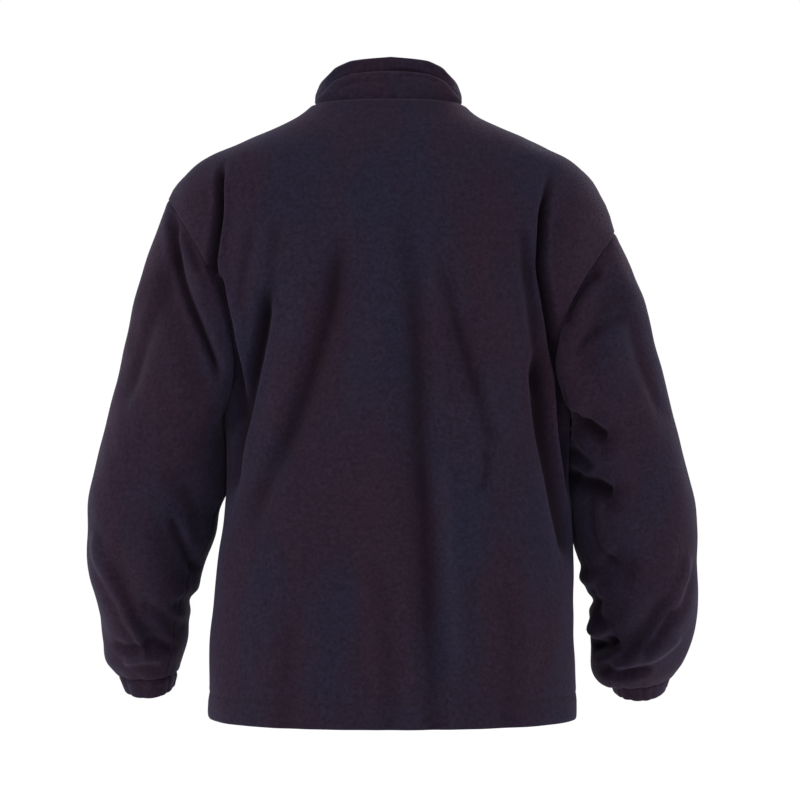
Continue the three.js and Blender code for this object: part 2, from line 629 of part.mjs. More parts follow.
// The middle line of the zip: its places on the tapes' front face, from the hem to the collar's top.
const zipSides = [left, right].map((side) => {
  const front = walls.get(`front_${sideName(side)}`).inner;
  const collar = walls.get("collar").inner;
  const rows = [
    ...front.slice(0, -1).map((line) => [line[0], line[1]]),
    ...collar.map((line) => (side > 0 ? [line.at(-1), line.at(-2)] : [line[0], line[1]])),
  ];
  return { side, rows: rows.map((row) => row.map((p) => p.clone().add({ x: 0, y: TAPE_GAP, z: 0 }))) };
});
const zipLine = zipSides[0].rows.map(([a], i) => {
  const b = zipSides[1].rows[i][0];
  return new THREE.Vector3(0, Math.max(a.y, b.y), (a.z + b.z) / 2);
});

const atX = (a, b, x) => a.clone().lerp(b, (x - a.x) / (b.x - a.x));
const inward = (line, depth) => line.map((p) => p.clone().add({ x: 0, y: depth, z: 0 }));

function tapeGeometry({ side, rows }) {
  const outer = rows.map(([, b], i) => {
    const start = zipLine[i].clone();
    start.x = side * (i === rows.length - 1 ? TAPE.spread : TAPE.inner);
    return [start, atX(start, b, side * TAPE.outer)];
  });
  return wallGeometry({ outer, inner: outer.map((line) => inward(line, TAPE.thick)), flip: side < 0 });
}

for (const zipSide of zipSides)
  addMesh(`zip_tape_${sideName(zipSide.side)}`, tapeGeometry(zipSide), tapeCloth);

// The slider's own frame: its origin on the tapes' front face, its Z up the zip, its -Y outward.
const [below, top] = zipLine.slice(-2);
const upZip = top.clone().sub(below).normalize();
const lean = Math.atan2(-upZip.y, upZip.z);
const sliderPlace = top.clone().addScaledVector(upZip, -SLIDER.fromTop);

function chainGeometry() {
  const end = sliderPlace.clone().addScaledVector(upZip, BRIDGE.low - 2 * CLEARANCE);
  const middle = [...zipLine.slice(0, -1), end];
  const outer = middle.map((p) =>
    [-1, 1].map((edge) => p.clone().add({ x: edge * CHAIN.half, y: -CLEARANCE - CHAIN.thick, z: 0 })),
  );
  return wallGeometry({ outer, inner: outer.map((line) => inward(line, CHAIN.thick)), flip: false });
}

addMesh("zip_chain", chainGeometry(), darkMetal);

const wasm = await Module();
wasm.setup();

function solidOf(geometry) {
  const bare = geometry.clone();
  bare.deleteAttribute("normal");
  bare.deleteAttribute("uv");
  const merged = mergeVertices(bare);
  return new wasm.Manifold(
    new wasm.Mesh({
      numProp: 3,
      vertProperties: new Float32Array(merged.attributes.position.array),
      triVerts: new Uint32Array(merged.index.array),
    }),
  );
}

function geometryOf(solid) {
  const { vertProperties, triVerts } = solid.getMesh();
  const geometry = new THREE.BufferGeometry();
  geometry.setAttribute("position", new THREE.Float32BufferAttribute(vertProperties, 3));
  geometry.setIndex([...triVerts]);
  return geometry;
}

// A box from y0 to y1, over an outline's X and Z.
const block = (x0, x1, y0, y1, z0, z1) =>
  new THREE.BoxGeometry(x1 - x0, y1 - y0, z1 - z0).translate((x0 + x1) / 2, (y0 + y1) / 2, (z0 + z1) / 2);

function roundedShape({ half, low, high, corner }) {
  const shape = new THREE.Shape();
  shape.moveTo(-half + corner, low);
  shape.absarc(half - corner, low + corner, corner, -Math.PI / 2, 0);
  shape.absarc(half - corner, high - corner, corner, 0, Math.PI / 2);
  shape.absarc(-half + corner, high - corner, corner, Math.PI / 2, Math.PI);
  shape.absarc(-half + corner, low + corner, corner, Math.PI, 1.5 * Math.PI);
  return shape;
}

const extrude = (shape, depth) =>
  new THREE.ExtrudeGeometry(shape, { depth, bevelEnabled: false, curveSegments: 4 });
// A shape drawn in X and Z, from y0 to y1.
const facing = (shape, y0, y1) => extrude(shape, y1 - y0).rotateX(Math.PI / 2).translate(0, y1, 0);
// A shape drawn with its X up the zip and its Y outward, as wide as twice the half given.
const sideways = new THREE.Matrix4().makeBasis(
  new THREE.Vector3(0, 0, 1),
  new THREE.Vector3(0, -1, 0),
  new THREE.Vector3(1, 0, 0),
);
const crosswise = (shape, half) => extrude(shape, 2 * half).translate(0, 0, -half).applyMatrix4(sideways);

const chainFront = -CLEARANCE - CHAIN.thick;
const plateBack = chainFront - CLEARANCE;
const plateFront = plateBack - SLIDER.plate;
const pivotY = plateFront - CROWN.room;
const SUNK = 0.4;

function sliderGeometry() {
  const end = SLIDER.height / 2;
  const outline = { half: SLIDER.half, low: -end, high: end, corner: SLIDER.corner };
  const behind = TAPE.thick + CLEARANCE;
  const pieces = [
    facing(roundedShape(outline), plateFront, plateBack),
    facing(roundedShape(outline), behind, behind + SLIDER.plate),
    block(-BRIDGE.half, BRIDGE.half, plateBack - SUNK, behind + SUNK, BRIDGE.low, BRIDGE.high),
  ];
  for (const side of [left, right]) {
    const [a, b] = [side * SLIDER.half, side * (SLIDER.half - SLIDER.flange)];
    const flangeEnd = end - SLIDER.corner;
    pieces.push(block(Math.min(a, b), Math.max(a, b), plateBack - SUNK, -CLEARANCE, -flangeEnd, flangeEnd));
  }
  const reach = 2 * CROWN.room + CROWN.bar;
  const crown = roundedShape({ half: CROWN.room + CROWN.bar, low: -SUNK, high: reach, corner: SUNK });
  crown.holes.push(
    new THREE.Path([
      new THREE.Vector2(-CROWN.room, 0),
      new THREE.Vector2(-CROWN.room, 2 * CROWN.room),
      new THREE.Vector2(CROWN.room, 2 * CROWN.room),
      new THREE.Vector2(CROWN.room, 0),
    ]),
  );
  pieces.push(crosswise(crown, CROWN.half).translate(0, plateFront, 0));
  return geometryOf(pieces.map(solidOf).reduce((whole, piece) => whole.add(piece)));
}

// The pull tab hangs from the crown by the bar at its top, which is the pull's own origin.
function pullGeometry() {
  const shape = roundedShape({ half: PULL.half, low: -PULL.length, high: PULL.bar, corner: PULL.corner });
  const eye = PULL.eyeHalf;
  shape.holes.push(
    new THREE.Path([
      new THREE.Vector2(-eye, -PULL.bar),
      new THREE.Vector2(eye, -PULL.bar),
      new THREE.Vector2(eye, -PULL.eyeEnd),
      new THREE.Vector2(-eye, -PULL.eyeEnd),
    ]),
  );
  return facing(shape, -PULL.thick / 2, PULL.thick / 2);
}

addMesh("zip_slider", sliderGeometry(), darkMetal);
const slider = jacket.children.at(-1);
slider.position.copy(sliderPlace);
slider.rotation.x = lean;

addMesh("pull_tab", pullGeometry(), darkMetal);
const pull = jacket.children.at(-1);
pull.position.set(0, pivotY, 0).applyAxisAngle(new THREE.Vector3(1, 0, 0), lean).add(sliderPlace);

export default jacket;
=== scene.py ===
"""A fleece zip jacket, filled out as worn: cloth, zip and stitching round its solids, and a studio.

Lengths in the tables are millimetres, as a pattern cutter writes them; MM turns them into Blender's metres.
+Z is up, the back faces +Y, and the wearer's left is +X, which is on the left of the picture.
"""

import bmesh
import bpy
import numpy as np
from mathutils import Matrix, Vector


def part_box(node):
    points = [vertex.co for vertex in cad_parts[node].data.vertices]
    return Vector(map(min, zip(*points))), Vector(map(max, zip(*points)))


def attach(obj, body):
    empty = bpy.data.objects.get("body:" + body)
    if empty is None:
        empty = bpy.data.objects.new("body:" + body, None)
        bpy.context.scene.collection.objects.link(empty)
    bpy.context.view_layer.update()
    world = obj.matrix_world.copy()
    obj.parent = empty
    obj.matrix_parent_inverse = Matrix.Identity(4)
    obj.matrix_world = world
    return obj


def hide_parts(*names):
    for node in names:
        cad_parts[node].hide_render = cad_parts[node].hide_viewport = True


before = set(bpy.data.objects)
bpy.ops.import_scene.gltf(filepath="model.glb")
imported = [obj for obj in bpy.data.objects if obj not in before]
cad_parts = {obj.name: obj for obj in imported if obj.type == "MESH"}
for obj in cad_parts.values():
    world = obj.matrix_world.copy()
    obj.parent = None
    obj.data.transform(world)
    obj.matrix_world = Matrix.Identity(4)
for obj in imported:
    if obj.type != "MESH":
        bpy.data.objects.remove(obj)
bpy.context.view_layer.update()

bl_info = {
    "name": "Fleece zip jacket",
    "version": (1, 0, 0),
    "blender": (4, 5, 0),
    "location": "3D View > Sidebar > Jacket",
    "description": "Builds a worn fleece jacket, its zip and its stitching round the packed solids",
    "category": "Object",
}

# Metres in a millimetre, a length too small to divide by, and how finely places are told apart
MM = 0.001
TINY = 1e-12
KEYS_PER_MM = 100

# The bodies and their parts
BODY = "garment"
PULL_BODY = "pull_tab"
SIDES = {"left": 1, "right": -1}
BODY_PANELS = ("back", "front_left", "front_right")

# Steps of the fine cloth for each row or column of the solids' grids, and halvings of a search
DETAIL = 7
HALVINGS = 40

# The cut: heights, how deep the armholes are behind (1) and before (-1) the middle, and the neck ring's size
HEM_Z = -686
UNDERARM_Z = -352
NAPE_Z = 1
FRONT_NECK_Z = -58
ARMHOLE_DEPTH = {"left": {1: 78, -1: 84}, "right": {1: 72, -1: 84}}
SHOULDER_TIP_Z = {"left": -107, "right": -144}
NECK = {"left": 86, "right": 80, "front": 73, "back": 62}
# How far past its ends the front neckline is looked for, and how late the fronts' rows bend towards it
NECK_SEARCH = 5
NECK_DRAW = 2.5
# The fronts' edges and the stitches beside the zip, counted from its middle line, and the stitches counted
# from the edge
ZIP_OPENING_HALF = 5.5
ZIP_STITCH_LINE = 16
ZIP_STITCH_INSET = ZIP_STITCH_LINE - ZIP_OPENING_HALF
CUFF_LENGTH = 17
# Rows, columns and rings of the solids' grids, and the fine cloth's own rings on the cuffs and the collar
SIDE_ROWS = 11
ARMHOLE_ROWS = 13
SHOULDER_ROWS = 5
SHOULDER_START = SIDE_ROWS + ARMHOLE_ROWS
TOP_ROW = SHOULDER_START + SHOULDER_ROWS
BACK_COLUMNS = 14
FRONT_COLUMNS = 11
SLEEVE_RINGS = 25
CUFF_RINGS = 12
COLLAR_RINGS = 44

# Horizontal sections of the body: height, half width left and right, depth behind and before the middle. The
# powers say how square a section is and how round an armhole.
SECTION_POWER = 2.3
ARMHOLE_POWER = 0.85
SECTIONS = [
    (-686, 205, 209, 127, 139),
    (-610, 204, 206, 123, 138),
    (-560, 199, 204, 120, 138),
    (-500, 193, 204.5, 117, 138),
    (-450, 186, 201.5, 116, 139),
    (-400, 184, 200, 117, 141),
    (-350, 188, 201, 119, 142),
    (-305, 194, 203, 121, 141),
    (-250, 214, 219, 123, 137),
    (-208, 229, 235, 123, 130),
    (-175, 240, 246, 122, 122),
    (-150, 246, 251, 119, 115),
    (-129, 250, 246, 116, 107),
    (-107, 249, 237, 111, 98),
    (-84, 235, 223, 105, 87),
    (-62, 209, 199, 96, 75),
    (-39, 156, 151, 85, 64),
    (-17, 109, 102, 72, 54),
    (0, 86, 80, 62, 46),
    (12, 72, 67, 54, 40),
]

# Sleeve rings from the armhole to the cuff: outer x, outer z, inner x, inner z, depth of the middle,
# half the ring's depth, and how far the ring tips forward
SLEEVE_SECTIONS = {
    "left": [
        (260, -136, 192, -357, 0, 82, 0),
        (271, -166, 190, -362, -1, 83, 0),
        (286, -212, 187, -371, -3, 83, 0),
        (298, -262, 185, -383, -6, 82, 0),
        (309, -310, 183.5, -397, -9, 80, 0),
        (320, -354, 183.5, -413, -12, 78, 0),
        (331, -398, 184.5, -433, -15, 76, 0.03),
        (341, -438, 193.5, -455, -18, 73, 0.1),
        (343, -476, 198.5, -483, -22, 70, 0.18),
        (343, -510, 210, -513, -29, 66, 0.24),
        (337, -545, 220, -546, -38, 61, 0.27),
        (332, -578, 230, -577, -49, 56, 0.27),
        (331, -606, 233, -604, -59, 51, 0.25),
        (329, -629, 239, -627, -67, 45, 0.22),
        (316, -646, 246, -645, -72, 36, 0.18),
    ],
    "right": [
        (262, -168, 208, -357, 0, 82, 0),
        (272, -190, 204, -363, -1, 84, 0),
        (285, -223, 201, -372, -3, 84, 0),
        (296, -264, 199.5, -385, -6, 82, 0),
        (309, -310, 199, -399, -9, 80, 0),
        (319, -354, 199, -415, -12, 78, 0),
        (331, -398, 199.5, -435, -15, 76, 0.03),
        (342, -438, 201, -458, -18, 73, 0.1),
        (347, -476, 205, -485, -22, 71, 0.18),
        (347, -512, 213.5, -515, -29, 68, 0.24),
        (349, -547, 223, -549, -38, 65, 0.27),
        (349, -578, 227, -579, -49, 62, 0.27),
        (345, -606, 229, -612, -59, 57, 0.25),
        (337, -630, 230, -641, -67, 50, 0.22),
        (325, -646, 241, -657, -73, 41, 0.19),
        (323, -646, 249, -652, -74, 37, 0.18),
    ],
}
# Over which share of the sleeve the armhole's own shape fades into plain rings, and how fast
LOOP_FADE = 0.3
LOOP_FADE_POWER = 1.2

# The collar, by the angle from the centre back: height of its top edge, how high the crease lies as a
# share of the band, how far the band below the crease bulges, and how far the whole band stands out
COLLAR_EDGE = [
    (0, 46.5, 0.66, 5, 0),
    (30, 43, 0.65, 5, 0),
    (38, 40, 0.61, 5, 0.4),
    (47, 36, 0.53, 4.6, 1.2),
    (54, 31, 0.4, 3.8, 1.8),
    (62, 27, 0.27, 2.6, 2.6),
    (75, 23, 0.16, 1, 3.6),
    (90, 21, 0.14, 0.4, 4),
    (120, 14, 0.2, 0, 2.5),
    (150, 3, 0.3, 0, 0.4),
    (180, -4, 0.3, 0, 0),
]
# How far the collar's top leans forward and narrows, by which share of its height it stands out fully, and
# how much of that is lost again at the top
COLLAR_LEAN = -9.5
COLLAR_TAPER = 0.08
COLLAR_STAND = 0.6
COLLAR_STAND_LOSS = 0.5
# The collar's own profile, from the seam (0) by the crease (1) to the top edge (2): how far out, as a
# share of the bulge, and how far up
COLLAR_PROFILE = [
    (0, 0, 0),
    (0.15, 0.36, 0),
    (0.4, 0.86, 0),
    (0.65, 1, 0),
    (0.85, 0.9, 0.3),
    (0.95, 0.62, 1.1),
    (1, 0.05, 0.7),
    (1.04, -0.66, -0.6),
    (1.1, -0.84, -0.5),
    (1.3, -0.6, 0),
    (1.6, -0.3, 0),
    (1.85, 0.1, 0),
    (2, 0.05, 0),
]

# Folds: the side that shows them (1 back, -1 front, 0 both), width, depth (minus is a trough), and a path
# (x, z). A fold marked OUTER shows on the sleeve's outer side, and its path is (y, z). The broad folds of
# the back, the fronts and the sleeves' backs and fronts are the solids' own. The creases are finer and sit
# in and beside them.
OUTER = "outer"
BODY_FOLDS = [
    (1, 17, -4, [(186, -84), (184, -130), (186, -180), (178, -240)]),
    (1, 18, -5, [(-176, -92), (-172, -160), (-180, -260), (-188, -330)]),
    (1, 18, -9, [(130, -190), (138, -240), (150, -290), (165, -345), (174, -400)]),
    (1, 22, -7, [(54, -144), (56, -190), (82, -302), (99, -355), (131, -432)]),
    (1, 23, -6, [(-7, -172), (-24, -288), (-33, -433), (-40, -537), (-46, -660)]),
    (1, 19, -7, [(-128, -130), (-156, -224), (-161, -320), (-174, -420)]),
    (1, 22, -5, [(-62, -231), (-82, -288), (-99, -341)]),
    (-1, 24, -8, [(150, -150), (142, -220), (124, -300), (95, -380)]),
    (-1, 24, -8, [(-152, -160), (-140, -230), (-120, -310), (-92, -400)]),
    (-1, 26, -6, [(70, -300), (80, -420), (86, -560), (88, -680)]),
    (-1, 26, -6, [(-74, -330), (-84, -440), (-90, -570), (-92, -680)]),
    (-1, 22, -5, [(128, -420), (150, -480), (160, -560)]),
    (-1, 22, -5, [(-130, -440), (-154, -500), (-164, -570)]),
]
SLEEVE_FOLDS = {
    "left": [
        (1, 17, -5, [(250, -150), (244, -200), (208, -300), (200, -350)]),
        (1, 17, -6, [(260, -456), (240, -496), (224, -530), (214, -560)]),
        (1, 16, -4, [(244, -400), (224, -440), (212, -480)]),
        (1, 16, 4, [(338, -480), (326, -530), (306, -576), (284, -612)]),
        (1, 16, -7, [(312, -500), (298, -548), (276, -590), (252, -620)]),
        (-1, 17, -8, [(208, -460), (250, -480), (304, -494)]),
        (-1, 17, -8, [(216, -514), (256, -528), (314, -544)]),
        (-1, 16, -7, [(232, -566), (270, -580), (318, -594)]),
        (-1, 18, -8, [(250, -160), (238, -215), (218, -270), (206, -320)]),
        (OUTER, 20, -4, [(52, -176), (54, -244), (46, -310), (32, -366)]),
        (OUTER, 18, -5, [(-50, -190), (-52, -262), (-62, -336)]),
        (OUTER, 17, -4, [(-82, -404), (-66, -418), (-44, -424)]),
        (OUTER, 19, -3.5, [(-92, -466), (-74, -484), (-50, -492)]),
        (OUTER, 17, -3, [(-100, -530), (-84, -546), (-64, -552)]),
    ],
    "right": [
        (1, 17, -8, [(-250, -196), (-236, -222), (-222, -262), (-214, -320)]),
        (1, 17, -9, [(-208, -350), (-226, -370), (-250, -384)]),
        (1, 17, -10, [(-214, -412), (-234, -432), (-258, -448)]),
        (1, 16, -7, [(-236, -500), (-254, -516), (-276, -528)]),
        (1, 16, 4, [(-334, -540), (-320, -584), (-296, -618), (-264, -640)]),
        (1, 16, -8, [(-310, -540), (-298, -570), (-276, -600), (-250, -622)]),
        (-1, 17, -8, [(-216, -464), (-258, -484), (-310, -496)]),
        (-1, 17, -8, [(-222, -516), (-262, -530), (-320, -548)]),
        (-1, 16, -7, [(-230, -568), (-272, -584), (-324, -598)]),
        (-1, 18, -8, [(-248, -180), (-238, -226), (-222, -274), (-214, -320)]),
        (OUTER, 20, -4, [(50, -200), (52, -262), (44, -326), (28, -380)]),
        (OUTER, 18, -5, [(-50, -220), (-54, -286), (-64, -350)]),
        (OUTER, 17, -3.5, [(-84, -412), (-68, -426), (-44, -432)]),
        (OUTER, 18, -4, [(-94, -472), (-76, -490), (-50, -498)]),
        (OUTER, 17, -3, [(-104, -538), (-88, -554), (-64, -560)]),
    ],
}
BODY_CREASES = [
    (1, 3.6, -12, [(186, -66), (188, -90), (190, -128), (196, -170), (202, -210)]),
    (1, 5, -9, [(196, -176), (190, -212), (181, -240), (176, -272), (172, -300), (172, -340),
                (180, -372)]),
    (1, 6, -10, [(132, -200), (142, -258), (156, -312), (167, -360), (174, -420), (180, -450)]),
    (1, 10, -5, [(53, -140), (57, -190), (66, -242), (85, -300), (108, -362), (136, -425), (160, -490)]),
    (1, 11, -4.5, [(-4, -100), (-18, -170), (-26, -230), (-30, -300), (-31, -370), (-38, -456), (-41, -550),
                 (-47, -678), (-52, -780)]),
    (1, 8, -4, [(-54, -170), (-62, -215), (-78, -274), (-98, -340), (-112, -400)]),
    (1, 4, -13, [(-176, -70), (-174, -92), (-168, -120), (-166, -152), (-166, -190), (-172, -218),
                 (-178, -246), (-184, -290), (-189, -346), (-194, -394), (-203, -460)]),
    (1, 6, -4, [(-138, -130), (-144, -158), (-151, -213), (-163, -283), (-167, -330)]),
    (1, 8, -13, [(-160, -280), (-167, -330), (-175, -394), (-187, -456), (-200, -520)]),
    (1, 6, -3.5, [(-98, -384), (-104, -402), (-96, -436)]),
    (1, 7, -3, [(150, -140), (160, -196), (166, -244)]),
    (1, 7, -2.5, [(120, -130), (128, -186), (126, -236)]),
    (1, 9, 2.5, [(-54, -380), (-60, -470), (-68, -560), (-72, -640)]),
    (1, 10, -3, [(12, -500), (4, -590), (0, -680), (-2, -760)]),
    (1, 12, -2.5, [(-120, -520), (-128, -590), (-126, -680), (-126, -740)]),
    (1, 12, -2.5, [(104, -560), (112, -630), (110, -690), (110, -750)]),
    (-1, 6, -8, [(180, -140), (174, -206), (164, -262), (150, -312)]),
    (-1, 6, -8, [(-180, -150), (-174, -214), (-162, -272), (-146, -318)]),
    (-1, 9, -5.5, [(52, -110), (60, -190), (78, -262), (102, -330), (120, -380)]),
    (-1, 9, -5.5, [(-50, -120), (-62, -204), (-82, -280), (-108, -350), (-124, -400)]),
    (-1, 10, -4, [(42, -420), (48, -520), (46, -640), (46, -760)]),
    (-1, 10, -4, [(-42, -400), (-52, -500), (-48, -620), (-48, -750)]),
    (-1, 8, -5, [(150, -380), (170, -440), (188, -500)]),
    (-1, 8, -5, [(-150, -400), (-172, -456), (-190, -520)]),
    (-1, 9, -4, [(120, -560), (132, -640), (134, -760)]),
    (-1, 9, -4, [(-118, -540), (-130, -620), (-134, -750)]),
]
SLEEVE_CREASES = {
    "left": [
        (1, 5, -4, [(238, -130), (222, -158), (208, -196)]),
        (1, 5, -9, [(244, -112), (240, -150), (235, -186), (222, -220), (208, -252), (194, -286),
                    (184, -318)]),
        (1, 8, 2.5, [(228, -130), (222, -176), (206, -222)]),
        (1, 6, -3, [(232, -424), (222, -444), (216, -472), (214, -494)]),
        (1, 5, -6, [(246, -458), (236, -480), (224, -506), (214, -530)]),
        (1, 4.5, 4.5, [(334, -470), (326, -505), (312, -540), (296, -574), (282, -606), (276, -630)]),
        (1, 9, -4, [(280, -556), (250, -578), (232, -600)]),
        (1, 6, -4, [(316, -602), (292, -612), (262, -606), (242, -618)]),
        (1, 6, 4, [(304, -628), (284, -624), (258, -626)]),
        (0, 8, -5, [(192, -556), (226, -560), (250, -566)]),
        (-1, 6, -8, [(210, -440), (246, -458), (290, -470)]),
        (-1, 6, -8, [(218, -492), (256, -506), (304, -516)]),
        (-1, 6, -7, [(232, -544), (270, -556), (310, -566)]),
        (-1, 6, -6, [(246, -592), (280, -604), (314, -608)]),
        (-1, 6, -9, [(240, -150), (232, -210), (216, -266), (202, -316)]),
        (OUTER, 8, -3, [(62, -150), (62, -214), (56, -282), (44, -340)]),
        (OUTER, 7, -2.5, [(-84, -380), (-66, -394), (-44, -402)]),
        (OUTER, 8, -2.5, [(-86, -434), (-68, -450), (-44, -458)]),
        (OUTER, 7, -3, [(-96, -496), (-78, -512), (-56, -520)]),
        (OUTER, 8, -2.5, [(-108, -572), (-94, -584), (-76, -590)]),
    ],
    "right": [
        (1, 7, -7, [(-234, -186), (-214, -202), (-200, -224), (-190, -254)]),
        (1, 6, -4, [(-262, -236), (-240, -250), (-216, -262), (-198, -286)]),
        (1, 7, -10, [(-192, -346), (-212, -362), (-240, -376)]),
        (1, 6, -7, [(-196, -384), (-212, -398), (-224, -410)]),
        (1, 8, -11, [(-196, -410), (-214, -424), (-246, -438)]),
        (1, 4, -4, [(-218, -430), (-224, -458), (-228, -488), (-240, -508), (-258, -520)]),
        (1, 5, 5.5, [(-336, -500), (-326, -536), (-312, -566), (-290, -602), (-268, -628), (-240, -644)]),
        (1, 5, 4.5, [(-326, -596), (-304, -612), (-282, -624), (-262, -634)]),
        (1, 6, -6, [(-318, -560), (-298, -596), (-278, -618)]),
        (1, 8, -14, [(-212, -606), (-232, -613), (-256, -604)]),
        (1, 8, 9, [(-214, -578), (-227, -588), (-246, -600)]),
        (0, 7, 5, [(-206, -528), (-222, -534), (-234, -536)]),
        (0, 7, -5, [(-204, -556), (-222, -560), (-240, -562)]),
        (1, 6, -5, [(-236, -634), (-262, -640), (-296, -632)]),
        (1, 3.2, -3, [(-228, -536), (-231, -562), (-240, -592), (-253, -618)]),
        (-1, 6, -8, [(-216, -442), (-254, -460), (-298, -470)]),
        (-1, 6, -8, [(-222, -496), (-262, -508), (-310, -518)]),
        (-1, 6, -7, [(-232, -546), (-272, -558), (-316, -568)]),
        (-1, 6, -6, [(-244, -594), (-282, -606), (-316, -610)]),
        (-1, 6, -9, [(-240, -170), (-232, -222), (-218, -272), (-206, -316)]),
        (OUTER, 8, -3, [(58, -180), (60, -236), (54, -300), (40, -352)]),
        (OUTER, 7, -2.5, [(-84, -388), (-68, -402), (-44, -408)]),
        (OUTER, 7, -3, [(-88, -444), (-70, -458), (-46, -466)]),
        (OUTER, 8, -2.5, [(-98, -504), (-82, -522), (-58, -530)]),
        (OUTER, 8, -2.5, [(-110, -580), (-96, -592), (-78, -598)]),
    ],
}
COLLAR_CREASES = [
    (1, 2.2, -1.8, [(6, 32), (-22, 32), (-50, 25)]),
    (1, 2.2, -1.8, [(-2, 25), (-28, 26), (-56, 19)]),
    (1, 2.6, -1.4, [(60, 12), (34, 20), (4, 19)]),
]
# How folds are laid: points on the curve between two places of a path, steps of the whole path, how many
# widths a fold reaches, the share of its length that fades at each end, and how high its ridges are. What
# is no wider than CREASE_WIDTH is a crease and fades sooner.
CURVE_POINTS = 40
PATH_STEPS = 24
FOLD_REACH = 4
FOLD_FADE = 0.25
FOLD_RIDGE = 0.5
CREASE_WIDTH = 12
CREASE_FADE = 0.16
# How squarely the cloth faces a fold's side where the fold begins to show and where it shows fully; and the
# same for how far it turns to the back or the front, which keeps OUTER folds off the sleeve's outline
SIDE_SHOWS = (-0.05, 0.35)
OUTER_SHOWS = (0.05, 0.4)
# Depths of broad folds and of creases at which the painted shade in them is full
FOLD_FULL_SHADE = 24
CREASE_FULL_SHADE = 11

# Small swells all over: seed, length, stretch along each axis, and share of the swells' height
SWELLS = [
    (11, 90, (1, 1, 2.2), 0.65),
    (12, 34, (1, 1, 1.5), 0.35),
]
SWELL_WAVES = 14
SWELL_LENGTHS = (0.6, 1.6)
# Where the swells grow to their full height: away from the zip, on the way to the back, and down from the
# collar
SWELLS_ACROSS = (10, 45)
SWELLS_BACK = (-40, 0)
SWELLS_DOWN = (10, -60)

# Seams: how far sewn edges lap, how far a seam sinks into the nap and how wide that is, the low swell
# beside it (its place and width in spreads), and the doubled cloth inside
SEAM_LAP = 0.1
SEAM_SINK = 1.5
SEAM_SPREAD = 2.4
ARMHOLE_SINK = 0.3
ARMHOLE_BLEND_ROWS = 2
SEAM_PUFF = 0.3
PUFF_PLACE = 2.6
PUFF_WIDTH = 1.3
SEAM_ALLOWANCE = 1.8
ALLOWANCE_SPREAD = 6
# The sleeve's long seam stays under the arm for a share of its length and then drifts backwards (radians)
SLEEVE_SEAM_SINK = 1.1
SLEEVE_SEAM_SPREAD = 2.0
SLEEVE_SEAM_STRAIGHT = 0.2
SLEEVE_SEAM_DRIFT = 0.85
STITCH_SINK = 0.8
STITCH_SPREAD = 2.0

# The turned-up hem: its depth; how full it looks, and over what lengths that ends at its stitches and at its
# fold; the share of the cloth's thickness that it adds, and where that starts above and below the stitches
# and beside the zip's edge
HEM_DEPTH = 25
HEM_FULLNESS = 0.6
HEM_SOFT = 8
HEM_FOLD = 6
HEM_LAYER = 0.8
HEM_STEP = (1, -2)
HEM_FROM_ZIP = (12, 18)

# Gathers round a cuff: their number, depth, reach up the sleeve and how fast they fade there; their height,
# their ridges' height and roundness; slow waves (times round, size), two that shift the gathers and two that
# change their height, the largest phase drawn for them, and the seeds; and their share at the cuff's edge
GATHERS = 13
GATHER_DEPTH = 1.5
GATHER_REACH = 30
GATHER_FADE_POWER = 1.5
GATHER_HEIGHT = 0.6
GATHER_RIDGE = 1.6
GATHER_ROUNDNESS = 0.7
GATHER_WAVES = [(2, 0.2), (5, 0.08), (3, 0.3), (7, 0.25)]
GATHER_PHASE = 6
GATHER_SEED = {"left": 3, "right": 8}
GATHER_EDGE_SHARE = 0.75
# The cuff's width at its edge as a share of the sleeve's, its tilt, and steps round the rim of any cloth
CUFF_NARROWING = 0.86
CUFF_TILT = 0.22
EDGE_STEPS = 4

# The zip, measured from its middle line, which is smoothed over a few points. The tapes lie behind the cloth
# by a gap, part from "inner" to "spread" above the slider, and reach out to "outer". Front and back of the
# chain are counted from the tapes' front face.
ZIP_SMOOTHING = 5
TAPE_GAP = 0.4
TAPE = {"inner": 0.15, "spread": 2.4, "outer": 15, "thick": 0.9}
TAPE_COLUMNS = 10
SLIDER_FROM_TOP = 7.5
CHAIN_FRONT = -2.5
CHAIN_BACK = 1.1
TOOTH_PITCH = 2.8
# A tooth's outline from the tape to its head past the middle line: across, half its height
TOOTH = [(3.1, 0.75), (1.5, 0.62), (0.5, 0.5), (0.1, 0.8), (-0.55, 0.8), (-0.95, 0.45)]
TOOTH_CHAMFER = 0.25
# The size of a tooth's ends, as a share of its middle; points on the line that the teeth follow; and how far
# the row stays off the box and off the stops
TOOTH_TOP_SHARE = 0.8
TOOTH_ROW_POINTS = 400
TOOTH_ROW_START = 1
TOOTH_ROW_END = 1.5
# The blocks' chamfer, the box at the hem and its ribs, the stops, counted across from the tapes' parted
# edges, and the pull tab's ribs
BLOCK_CORNER = 0.7
BOX = {"half": 4.6, "low": 0.5, "high": 12.5, "front": -3.0, "back": 1.4}
BOX_RIBS = {"count": 3, "pitch": 2.7, "half": 3.2, "height": 0.4, "root": 1, "thick": 1.1, "corner": 0.25}
STOP = {"inner": -1.0, "outer": 2.0, "low": -5.2, "high": -2.2, "front": -1.6, "back": 1.6}
PULL_RIBS = {"count": 4, "first": 20.5, "pitch": 2.6, "half": 2.7, "height": 0.45, "thick": 1.1,
             "corner": 0.3}
# The slider's and pull tab's bevel and its steps, the angles (radians) up to which faces count as flat and
# edges as soft, and how near two corners are to be merged (metres)
METAL_BEVEL = 0.28
BEVEL_STEPS = 2
FLAT_ANGLE = 0.02
SOFT_ANGLE = 0.6
MERGE_DISTANCE = 1e-6

# Stitches, how far a line of them lies from a cuff's seam, and by how many grid places the lines beside the
# zip stop short at each end
STITCH = {"length": 3.3, "pitch": 4.1, "width": 0.75, "lift": 0.12, "rings": 5, "sides": 6, "blunt": 0.7}
CUFF_STITCH_LINE = 3.2
STITCH_ENDS = 2

